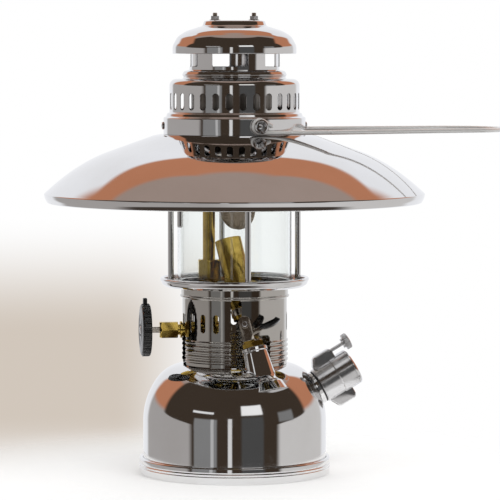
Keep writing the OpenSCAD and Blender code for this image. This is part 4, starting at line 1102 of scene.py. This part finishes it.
# Control: handwheel with its pointer tab, spindle, gland nut and the body of the valve.
controlValues = {
    "wheel": [(2.8, 76.6, 0.2), (6.0, 76.6, 0.4), (8.0, 78.3, 0.8), (17.4, 78.3, 1.2),
              (18.8, 75.6, 1.0), (22.3, 75.6, 0.8), (23.5, 76.8, 0.9), (23.5, 82.3, 1.2),
              (21.9, 83.6, 1.2), (16.0, 84.25, 2.0), (12.5, 83.4, 2.0), (8.6, 84.3, 1.0),
              (6.0, 84.3, 0.3), (5.6, 83.3, 0.2), (2.8, 83.3, 0.1)],
    "notches": 24, "notchOut": 24.5, "notchCut": 2.1,
    "tab": [(-28.4, -3, 1.6), (-20.0, -3, 0.1), (-20.0, 3, 0.1), (-28.4, 3, 1.6)],
    "tabBack": 78.2, "tabFront": 81.8, "screwRadius": 3.9, "screwHeight": 1.75, "screwSlot": 1.0,
    "screwAt": 83.3, "eccentric": 1.6,
    "rod": [(0, 26.6, 0), (2.7, 26.6, 0.3), (2.7, 82.6, 0.3), (0, 83.2, 0)],
    "pin": [(0, 23.8, 0), (1, 23.8, 0.2), (1, 27, 0.1), (0, 27, 0)],
    "glandFlats": 14.0,
    "gland": [(2.85, 51.1, 0.2), (7.5, 51.1, 0.3), (8.2, 51.9, 0.4), (8.2, 65.3, 0.9),
              (6.7, 67.3, 0.6), (2.85, 67.3, 0.3)],
    "arm": [(0, 10, 0), (7, 10, 0.3), (7, 43.4, 0.5), (6, 44.2, 0.3), (6, 46.7, 0.3),
            (7.4, 47.1, 0.4), (7.4, 48.9, 0.4), (4.75, 49.2, 0.2), (4.75, 60, 0.2), (0, 60, 0)],
    "trunk": [(0, 90, 0), (9, 90, 0.3), (9, 100.9, 0.2), (8.2, 101.3, 0.3), (8.2, 175.7, 0.4),
              (0, 176, 0)],
    "footFlats": 24.0,
    "foot": [(8, 100.8, 0.1), (12.4, 100.8, 0.4), (13.6, 101.7, 0.5), (13.6, 105.8, 0.5),
             (12.4, 106.7, 0.4), (8, 106.7, 0.1)]}


def makeControls(v):
    tab = plate(v["tab"], v["tabBack"], v["tabFront"], 0.7, 1.0)
    wheel = notchedWheel(v["wheel"], v["notches"], v["notchOut"], v["notchCut"])
    addPiece("handwheelRim", placed(joined([wheel, tab]), spindle), blackMoulding, "control",
             ["handwheel"])
    head = slottedHead(v["screwRadius"], v["screwHeight"], v["screwSlot"])
    addPiece("wheelScrew", placed(head, spindle @ moved(0, 0, v["screwAt"])), castChrome,
             "control", ["wheel_screw"])
    pin = placed(lathe(v["pin"], 24, closed=False), moved(-v["eccentric"], 0, 0))
    addPiece("spindleRod", placed(joined([lathe(v["rod"], 40, closed=False), pin]), spindle),
             nickelSteel, "control", ["spindle"])
    addPiece("glandNut", placed(hexagonNut(v["glandFlats"], v["gland"]), spindle), brassTurned,
             "lantern", ["gland_nut"])
    parts = [placed(lathe(v["arm"], 72, closed=False), spindle),
             placed(lathe(v["trunk"], 80, closed=False), stem),
             placed(hexagonNut(v["footFlats"], v["foot"]), stem)]
    addPiece("valveBody", parts, brassTurned, "lantern", ["valve_body"])


makeControls(controlValues)

# Vaporizer: union nut, straight tube and the loop that crosses it.
vaporizerValues = {
    "nutFlats": 19.0,
    "nut": [(5.6, 172, 0.2), (10.0, 172, 0.3), (10.98, 172.9, 0.5), (10.98, 188.8, 0.7),
            (9.4, 190.6, 0.6), (5.6, 190.6, 0.3)],
    "tube": [(0, 176, 0), (8.2, 176, 0.2), (8.2, 178, 0.3), (5.5, 178.4, 0.3), (5.5, 282.5, 0.6),
             (0, 283, 0)],
    "loop": 10, "loopWire": 2.6, "loopOut": 5, "loopAt": 262, "loopTurn": 150}


def makeVaporizer(v):
    addPiece("vaporizerNut", placed(hexagonNut(v["nutFlats"], v["nut"]), stem), brassTurned,
             "lantern", ["vaporizer_nut"])
    turn = np.radians(np.arange(0, 360, 3))
    loop = np.stack([v["loop"] * np.cos(turn), v["loop"] * np.sin(turn), 0 * turn], 1)
    ring = placed(wire(loop, v["loopWire"], 24, closed=True),
                  turned("Z", v["loopTurn"] - controlAzimuth)
                  @ moved(v["loopOut"], 0, v["loopAt"]) @ turned("X", 90))
    addPiece("vaporizerTube", placed(joined([lathe(v["tube"], 64, closed=False), ring]), stem),
             brassDrawn, "lantern", ["vaporizer"])


makeVaporizer(vaporizerValues)
print("lantern: valve and vaporizer made")

# Preheater: foot on the tank, burner with its crank and lever, strap and flame tube.
preheaterValues = {
    "crank": 2.5, "crankHeight": 41.0, "tube": 11.65, "wall": 0.7, "start": 47.8, "end": 120.4,
    "hole": 2.2, "holeHeight": 60.0, "holeAngles": range(20, 340, 60), "nutFlats": 18.0,
    "foot": [(0, -21, 0), (22.4, -21, 0.4), (18.4, -12.4, 3.0), (13.6, -8.6, 8.0),
             (11.25, 15.8, 2.0), (11.25, 17.0, 0.3), (11.9, 17.6, 0.4), (11.9, 20.3, 0.4),
             (11.2, 21.0, 0.4), (0, 21.0, 0)],
    "nut": [(3.3, 21.05, 0.1), (9.4, 21.05, 0.3), (10.35, 21.8, 0.5), (10.35, 25.2, 0.5),
            (9.4, 25.95, 0.3), (3.3, 25.95, 0.1)],
    "burner": [(0, 27.2, 0), (6.5, 27.2, 0.4), (6.5, 44.6, 0.6), (5.0, 45.4, 0.4),
               (2.4, 50.0, 0.4), (0.6, 50.2, 0.1), (0.6, 49, 0), (0, 49, 0)],
    "boss": [(0, 0, 0), (4.8, 0, 0.3), (4.8, 5.8, 0.3), (4.0, 6.2, 0.3), (4.0, 12.8, 0.5),
             (2.1, 12.8, 0.1), (2.1, 11, 0), (0, 11, 0)],
    "rivet": [(2.0, 0.2, 0.1), (3.9, 0.2, 0.2), (3.7, 0.9, 0.3), (2.0, 0.9, 0.1)],
    "pin": [(0, 3.4, 0), (2, 3.4, 0.2), (2, 14.8, 0.1), (2.8, 15.0, 0.1), (2.8, 16.6, 0.2),
            (2.0, 17.3, 0.4), (0, 17.3, 0)],
    "crankPin": [(0, 0.7, 0), (1, 0.7, 0.2), (1, 4.3, 0.2), (0, 4.3, 0)]}
crankPlace = preheater @ moved(-preheaterValues["crank"], 0,
                               preheaterValues["crankHeight"]) @ turned("X", 90)


def makePreheater(v):
    addPiece("preheaterFoot", placed(lathe(v["foot"], 112, closed=False, step=2.0), preheater),
             chromePlate, "lantern", ["preheater_bushing"])
    addPiece("preheaterNut", placed(hexagonNut(v["nutFlats"], v["nut"]), preheater), brassTurned,
             "lantern", ["preheater_nut"])
    burner = [placed(lathe(v["burner"], 64, closed=False), preheater),
              placed(lathe(v["boss"], 56, closed=False), crankPlace)]
    addPiece("preheaterBurner", burner, brassTurned, "lantern", ["preheater_body"])
    upright = turned("X", 90)
    lug = plate([(-7.6, 26, 0.3), (2.8, 26, 0.3), (2.8, 48.2, 5.15), (-7.6, 48.2, 5.15)], 0, 1.2,
                0.3, 1.2)
    foot = plate([(-7.6, -16.2, 0.5), (2.8, -16.2, 0.5), (2.8, -2, 0.2), (-7.6, -2, 0.2)],
                 26, 27.2, 0.3)
    heel = plate([(-5, 5, 0.2), (5, 5, 0.2), (5, 12.45, 0.5), (-5, 12.45, 0.5)], 26, 27.2, 0.3)
    back = plate([(-5, 26, 0.3), (5, 26, 0.3), (5, 56, 0.6), (-5, 56, 0.6)], 0, 1.2, 0.3)
    strap = [ringOf(3.3, 9, 26, 27.2, 0.25, 64), placed(lug, moved(0, -15, 0) @ upright), foot,
             heel, placed(back, moved(0, 12.45, 0) @ upright),
             ringOf(v["tube"] + 0.02, 12.5, 51, 57, 0.25, 96)]
    rivet = placed(lathe(v["rivet"], 40), crankPlace @ moved(0, 0, 16.1))
    addPiece("preheaterStrap", [*[placed(s, preheater) for s in strap], rivet], nickelSteel,
             "lantern", ["preheater_bracket"])


makePreheater(preheaterValues)


# The lever's outline: a round head, then two runs of even width with rounded ends. At the bend
# each edge's corner is where the two runs' edge lines cross.
def makeLever(v):
    first, second = np.array([4.6, -9.0]), np.array([13.4, -6.4])
    d1, d2 = unit(first), unit(second - first)
    n1, n2 = np.array([-d1[1], d1[0]]), np.array([-d2[1], d2[0]])

    def elbow(side):
        cross = d1[0] * d2[1] - d1[1] * d2[0]
        gap = side * 2 * (n2 - n1)
        return first + side * 2 * n1 + d1 * (gap[0] * d2[1] - gap[1] * d2[0]) / cross
    points = [(n1 * -3.8 - d1 * 3.8, 3.75), (n1 * 3.8 - d1 * 3.8, 3.75),
              (n1 * 3.8 + d1 * 2.4, 1.8), (n1 * 2 + d1 * 4.6, 1.5), (elbow(1), 1.2),
              (second + n2 * 2 + d2 * 2, 1.95), (second - n2 * 2 + d2 * 2, 1.95),
              (elbow(-1), 3.0), (n1 * -2 + d1 * 4.6, 1.5), (n1 * -3.8 + d1 * 2.4, 1.8)]
    line = [(*point, radius) for point, radius in points]
    addPiece("leverArm", placed(plate(line, 13.2, 14.7, 0.35, 0.8), crankPlace), nickelSteel,
             "lever", ["preheater_lever"])
    crankPin = placed(lathe(v["crankPin"], 24, closed=False), moved(v["crank"], 0, 0))
    arm = plate(corners(0, -1, v["crank"], 1, 0.2), 3.3, 4.3, 0.15)
    parts = joined([lathe(v["pin"], 40, closed=False), crankPin, arm])
    addPiece("leverSpindle", placed(parts, crankPlace), castChrome, "lever", ["lever_spindle"])
    # Finger piece: a bow between two arcs round one centre.
    tip = [(18 + r * math.cos(a), 12 + r * math.sin(a), 1.2 if i in (0, n - 1) else 0)
           for r, start, end, n in ((20, 250, 312, 16), (15.5, 309, 253, 15))
           for i, a in enumerate(np.radians(np.linspace(start, end, n)))]
    addPiece("leverTip", placed(plate(tip, 10, 18, 1.2, 0.8), crankPlace), blackMoulding, "lever",
             ["lever_tip"])


makeLever(preheaterValues)


def makeFlameTube(v):
    radius = v["tube"]
    form, facing, lengths, lengthAt = revolvedForm(
        bent([(radius, v["start"], 0), (radius, v["end"], 0)]), v["wall"], radius)
    width = 2 * math.pi * radius
    across, along = np.linspace(0, width, 61), np.linspace(0, lengths[-1], 30)
    ring = np.linspace(0, 2 * np.pi, 24, endpoint=False)
    holes = [np.stack([radius * math.radians(a) + v["hole"] * np.cos(ring),
                       float(lengthAt(v["holeHeight"])) + v["hole"] * np.sin(ring)], 1)
             for a in v["holeAngles"]]
    outer, free = cellEdge(across, along)
    tube = formedSheet(outer, holes, form, facing, across[1:-1], along[1:-1], free, bulge=0.1)
    addPiece("flameTube", placed(welded(tube), preheater), flameBrass, "lantern", ["flame_tube"])


makeFlameTube(preheaterValues)
print("lantern: preheater made")

# Filler cap with two lugs, the gauge in its head and the vent screw beside it.
fillerValues = {
    "cap": 16.1, "housing": 16.75, "lug": 25.2, "ventOut": 22.2,
    "head": [(0, 38.5, 0), (6.6, 38.5, 0.3), (7.25, 39.1, 0.4), (7.25, 42.8, 0.5),
             (6.5, 43.5, 0.5), (0, 43.5, 0)],
    "neck": [(0, 10, 0), (1.6, 10, 0.3), (1.6, 36.4, 0.2), (4.5, 36.6, 0.3), (4.5, 38.5, 0.2),
             (0, 38.5, 0)],
    "marks": 31, "scaleFrom": 225.0, "markStep": 9.0, "markOut": 12.6, "scaleFoot": 28.79,
    "scaleHead": 28.86}


def makeFiller(v):
    body = lathe([(0, -9, 0), (9.4, -9, 0.5), (9.4, -0.2, 0.3), (15.5, 0, 0.4),
                  (v["cap"], 0.7, 0.5), (v["cap"], 17.8, 0.4), (v["housing"], 18.5, 0.5),
                  (v["housing"], 33.0, 0.2), (14.6, 33.0, 0.2), (14.6, 21, 0.2), (0, 21, 0)],
                 128, closed=False)
    lugLine = [(8, 2.6, 0), (17.8, 2.6, 2.5), (v["lug"], 6.8, 4.0), (v["lug"], 25.2, 4.0),
               (8, 25.2, 0)]
    lugs = [placed(plate(lugLine, -4, 4, 1.4, 1.0), turned("Z", side) @ turned("X", 90))
            for side in (0, 180)]
    addPiece("fillerCapBody", placed(joined([body, *lugs]), filler), castChrome, "filler_lid",
             ["filler_cap"])
    bezel = [(13.0, 33.3, 0.3), (15.6, 33.05, 0.1), (v["housing"], 33.2, 0.2),
             (v["housing"], 34.6, 0.7), (15.3, 36.0, 0.8), (13.9, 35.8, 0.4), (13.0, 34.4, 0.3)]
    addPiece("gaugeBezel", placed(lathe(bezel, 128), filler), chromePlate, "filler_lid",
             ["gauge_bezel"])
    head = notchedWheel(v["head"], 24, 7.9, 1.0, 12, 0.0, closed=False)
    neck = lathe(v["neck"], 36, closed=False)
    addPiece("ventScrew", placed(joined([head, neck]), filler @ moved(-v["ventOut"], 0, 0)),
             castChrome, "vent", ["vent_screw"])
    # Printed scale: a fine arc with long and short strokes over 270 degrees.
    foot, top, marks = v["scaleFoot"], v["scaleHead"], []
    for i in range(v["marks"]):
        long = i % 10 == 0
        inner, half = (9.6 if long else 10.9 if i % 5 == 0 else 11.6), (0.24 if long else 0.11)
        stroke = plate(corners(inner, -half, v["markOut"], half, 0), foot, top, 0.01)
        marks.append(placed(stroke, turned("Z", v["scaleFrom"] - v["markStep"] * i)))
    arc = np.radians(np.linspace(225, -45, 91))
    ends = [(r * math.cos(a), r * math.sin(a), 0) for r, run in ((12.75, arc), (12.55, arc[::-1]))
            for a in run]
    marks.append(plate(ends, foot, top, 0.01))
    addPiece("gaugeScale", placed(joined(marks), filler), dialInk, "filler_lid")


makeFiller(fillerValues)

# Pump: the screw cap and the knob, which stand outside the tank.
pumpValues = {
    "cap": [(2.6, 3.05, 0.1), (12.2, 3.05, 0.3), (12.2, 7.9, 0.5), (9, 9.4, 0.8), (2.6, 9.4, 0.2)],
    "capNotches": 12, "capOut": 13.2, "capCut": 1.6,
    "knob": [(0, 10.4, 0), (5.5, 10.4, 0.3), (5.6, 12.2, 0.4), (11.8, 13.2, 0.8), (13.7, 14.8, 1.2),
             (13.7, 18.0, 1.6), (11.4, 19.9, 1.4), (6, 20.9, 4.0), (0, 21.4, 0)],
    "knobNotches": 18, "knobOut": 14.6, "knobCut": 1.4}


def makePump(v):
    cap = notchedWheel(v["cap"], v["capNotches"], v["capOut"], v["capCut"])
    knob = notchedWheel(v["knob"], v["knobNotches"], v["knobOut"], v["knobCut"], closed=False)
    addPiece("pumpCap", placed(cap, pump), brassTurned, "lantern", ["pump_cap"])
    addPiece("pumpKnob", placed(knob, pump), brassTurned, "plunger", ["pump_knob"])


makePump(pumpValues)
print("lantern: filler cap and pump made")

# The solids that stay as they are: the finish, and the nodes that get it.
keptFinishes = {
    "chrome": (chromePlate, ["tank_bottom", "filler_neck", "cage_top_ring"]),
    "steel": (innerSteel, ["inner_casing", "mixing_tube", "needle_rod", "preheater_rod", "pump_rod",
                           "pump_spring"]),
    "brass": (brassTurned, ["tank_neck", "gauge_bourdon", "pump_barrel", "pump_valve", "dip_tube",
                            "gas_chamber", "jet"]),
    "rubber": (rubber, ["filler_gasket"]),
    "packing": (packing, ["gland_packing"]),
    "leather": (leather, ["pump_cup"]),
    "ceramic": (ceramic, ["ceramic_nozzle"]),
    "dial": (dialPaint, ["gauge_dial"]),
    "pointer": (pointerBlack, ["gauge_pointer"]),
    "glass": (clearGlass, ["gauge_glass"]),
}
for finish, names in keptFinishes.values():
    for name in names:
        for slot in nodes[name].material_slots:
            slot.material = finish
print("lantern: finishes given to the solids")


# What the metal mirrors, by direction: angles in degrees, azimuth from the front to the right,
# height above the horizon. Tones are plain linear colours.
studioValues = {
    "leftTone": (0.42, 0.40, 0.39), "rightTone": (0.66, 0.645, 0.635),
    "sweepTone": (0.92, 0.93, 0.96), "orangeTone": (0.53, 0.225, 0.125),
    "topTone": (0.38, 0.295, 0.255), "frontTone": (0.050, 0.036, 0.026),
    "frontLow": 57.0, "frontHigh": 102.0, "frontFrom": -12.0, "frontTo": 66.0,
    "sweepTurn": 141.0, "sweepTop": 41.5, "lowTone": (0.055, 0.042, 0.034), "diffuse": 0.56,
    "shadeTone": (0.64, 0.57, 0.50)}
# (azimuth from, to, height from, to, soft edge, brightness) of the pale panels in front
panels = [(9, 37, 17, 32, 1.2, 1.0), (-56, -27, 18, 21, 0.8, 0.85), (-52, -22, -9, 10, 1.5, 0.24),
          (-8, -3, -10, 12, 0.8, 0.75), (58, 80, 4, 17, 2.0, 0.22), (9, 37, -10, 14, 2.0, 0.075),
          (-30, -26, -10, 10, 0.6, 0.5)]


def makeWorld(v):
    world = bpy.data.worlds.new("studio")
    bpy.context.scene.world = world
    world.use_nodes = True
    tree = world.node_tree
    x, y, z = addNode(tree, "ShaderNodeSeparateXYZ", {
        "Vector": addNode(tree, "ShaderNodeTexCoord").outputs["Generated"]}).outputs

    def reckon(kind, *values):
        return maths(tree, kind, *values)

    def rise(value, start, end):
        return mapped(tree, value, start, end, kind="SMOOTHSTEP")

    def fall(value, start, end):
        return reckon("SUBTRACT", 1.0, rise(value, start, end))

    def band(value, start, end, soft):
        return reckon("MULTIPLY", rise(value, start - soft, start + soft),
                      fall(value, end - soft, end + soft))

    height = reckon("MULTIPLY", reckon("ARCSINE", z), 180 / math.pi)
    azimuth = reckon("MULTIPLY", reckon("ARCTAN2", x, reckon("MULTIPLY", y, -1.0)), 180 / math.pi)
    turn = reckon("ABSOLUTE", azimuth)
    colour = blendColours(tree, rise(azimuth, -20.0, 20.0), (*v["leftTone"], 1),
                          (*v["rightTone"], 1))
    # The orange wall stands beside and behind; its edges are slanted as the room is long.
    colour = blendColours(tree, rise(height, 8.0, 14.0), colour, (*v["orangeTone"], 1))
    sweep = reckon("MULTIPLY", rise(turn, v["sweepTurn"] - 5, v["sweepTurn"] + 5),
                   fall(height, v["sweepTop"] - 1.5, v["sweepTop"] + 1.5))
    colour = blendColours(tree, sweep, colour, (*v["sweepTone"], 1))
    edge = mapped(tree, turn, 115.0, 157.0, 43.0, 66.0)
    colour = blendColours(tree, rise(reckon("SUBTRACT", height, edge), -2.5, 2.5), colour,
                          (*v["topTone"], 1))
    half = mapped(tree, height, 0.0, 9.0, v["frontLow"], v["frontHigh"], "SMOOTHSTEP")
    front = reckon("MULTIPLY", fall(reckon("SUBTRACT", turn, half), -4.0, 4.0),
                   band(height, v["frontFrom"], v["frontTo"], 3.0))
    colour = blendColours(tree, front, colour, (*v["frontTone"], 1))
    ground = reckon("MULTIPLY", fall(height, -49.0, -42.0), fall(turn, 105.0, 125.0))
    colour = blendColours(tree, ground, colour, (*v["lowTone"], 1))
    for start, end, low, high, soft, bright in panels:
        mask = reckon("MULTIPLY", band(azimuth, start, end, soft), band(height, low, high, soft))
        colour = blendColours(tree, mask, colour, (bright, bright, bright, 1))
    # Behind the lantern: white, with a soft warm shade low on the left
    left = reckon("MULTIPLY", fall(x, -0.046, -0.008),
                  reckon("MULTIPLY", rise(height, -8.6, -6.9), fall(height, -5.4, -3.1)))
    left = reckon("MULTIPLY", left, reckon("MULTIPLY", rise(y, 0.90, 0.97), rise(x, -0.17, -0.08)))
    back = blendColours(tree, left, (1.0, 1.0, 1.0, 1), (*v["shadeTone"], 1))
    path = addNode(tree, "ShaderNodeLightPath").outputs
    # Light that metal sends out through the glass has met the metal first, so it is studio light.
    fromMetal = reckon("MULTIPLY", path["Is Transmission Ray"],
                       reckon("MINIMUM", path["Glossy Depth"], 1.0))
    seen = reckon("MAXIMUM", path["Is Camera Ray"],
                  reckon("SUBTRACT", path["Is Transmission Ray"], fromMetal))
    plain = (v["diffuse"],) * 3 + (1,)
    colour = blendColours(tree, reckon("MAXIMUM", path["Is Glossy Ray"], fromMetal), plain, colour)
    colour = blendColours(tree, seen, colour, back)
    tree.links.new(colour, tree.nodes["Background"].inputs["Color"])


makeWorld(studioValues)

# Soft lamps: place and aim in metres, size in metres, power in watts.
lampValues = {
    "key": {"place": (0.9, -1.5, 1.9), "aim": (0, 0, 0.2), "size": 1.6, "power": 26.0},
    "fill": {"place": (-1.7, -1.1, 1.0), "aim": (0, 0, 0.2), "size": 1.4, "power": 11.0},
    "back": {"place": (0.3, 1.6, 1.8), "aim": (0, 0, 0.1), "size": 1.8, "power": 12.0},
}
for name, v in lampValues.items():
    data = bpy.data.lights.new(name, "AREA")
    data.shape, data.size, data.energy = "DISK", v["size"], v["power"]
    lamp = bpy.data.objects.new(name, data)
    bpy.context.scene.collection.objects.link(lamp)
    lamp.location = v["place"]
    way = Vector(v["aim"]) - Vector(v["place"])
    lamp.rotation_euler = way.to_track_quat("-Z", "Y").to_euler()
    lamp.visible_glossy = False
    lamp.visible_camera = False
    lamp.visible_transmission = False

# Floor: a disk that fades away towards its edge, so that it has no horizon.
floorValues = {"radius": 0.62, "fadeFrom": 0.10, "fadeTo": 0.36, "paperFrom": 0.165,
               "paperTo": 0.19, "glow": 0.19, "colour": (0.93, 0.925, 0.915)}


def makeFloor(v):
    angles = np.linspace(0, 2 * np.pi, 96, endpoint=False)
    mesh = bpy.data.meshes.new("floor")
    rim = v["radius"] * np.stack([np.cos(angles), np.sin(angles), 0 * angles], 1)
    mesh.from_pydata(rim.tolist(), [], [tuple(range(len(rim)))])
    floor = bpy.data.objects.new("floor", mesh)
    bpy.context.scene.collection.objects.link(floor)
    material, tree, shader, vector = startFinish("floorPaper")
    distance = addNode(tree, "ShaderNodeVectorMath", {0: vector},
                       operation="LENGTH").outputs["Value"]
    fade = mapped(tree, distance, v["fadeFrom"], v["fadeTo"], 1.0, 0.0, "SMOOTHSTEP")
    paper = mapped(tree, distance, v["paperFrom"], v["paperTo"], 1.0, 0.0, "SMOOTHSTEP")
    path = addNode(tree, "ShaderNodeLightPath").outputs
    edge = addNode(tree, "ShaderNodeMix", {"Factor": path["Is Glossy Ray"], 2: fade, 3: paper})
    # The paper is white to the camera and in reflections; the shadow stays on it.
    seen = maths(tree, "MAXIMUM", path["Is Camera Ray"], path["Is Transmission Ray"])
    seen = maths(tree, "MAXIMUM", seen, path["Is Glossy Ray"])
    setInputs(tree, shader, {
        "Base Color": (*v["colour"], 1), "Roughness": 0.9, "Specular IOR Level": 0.1,
        "Normal": relief(tree, noise(tree, vector, 400.0, 2.0), 0.05, 0.0001),
        "Alpha": edge.outputs[0], "Emission Color": (1, 1, 1, 1),
        "Emission Strength": maths(tree, "MULTIPLY", seen, v["glow"])})
    mesh.materials.append(material)


makeFloor(floorValues)
print("lantern: studio made")
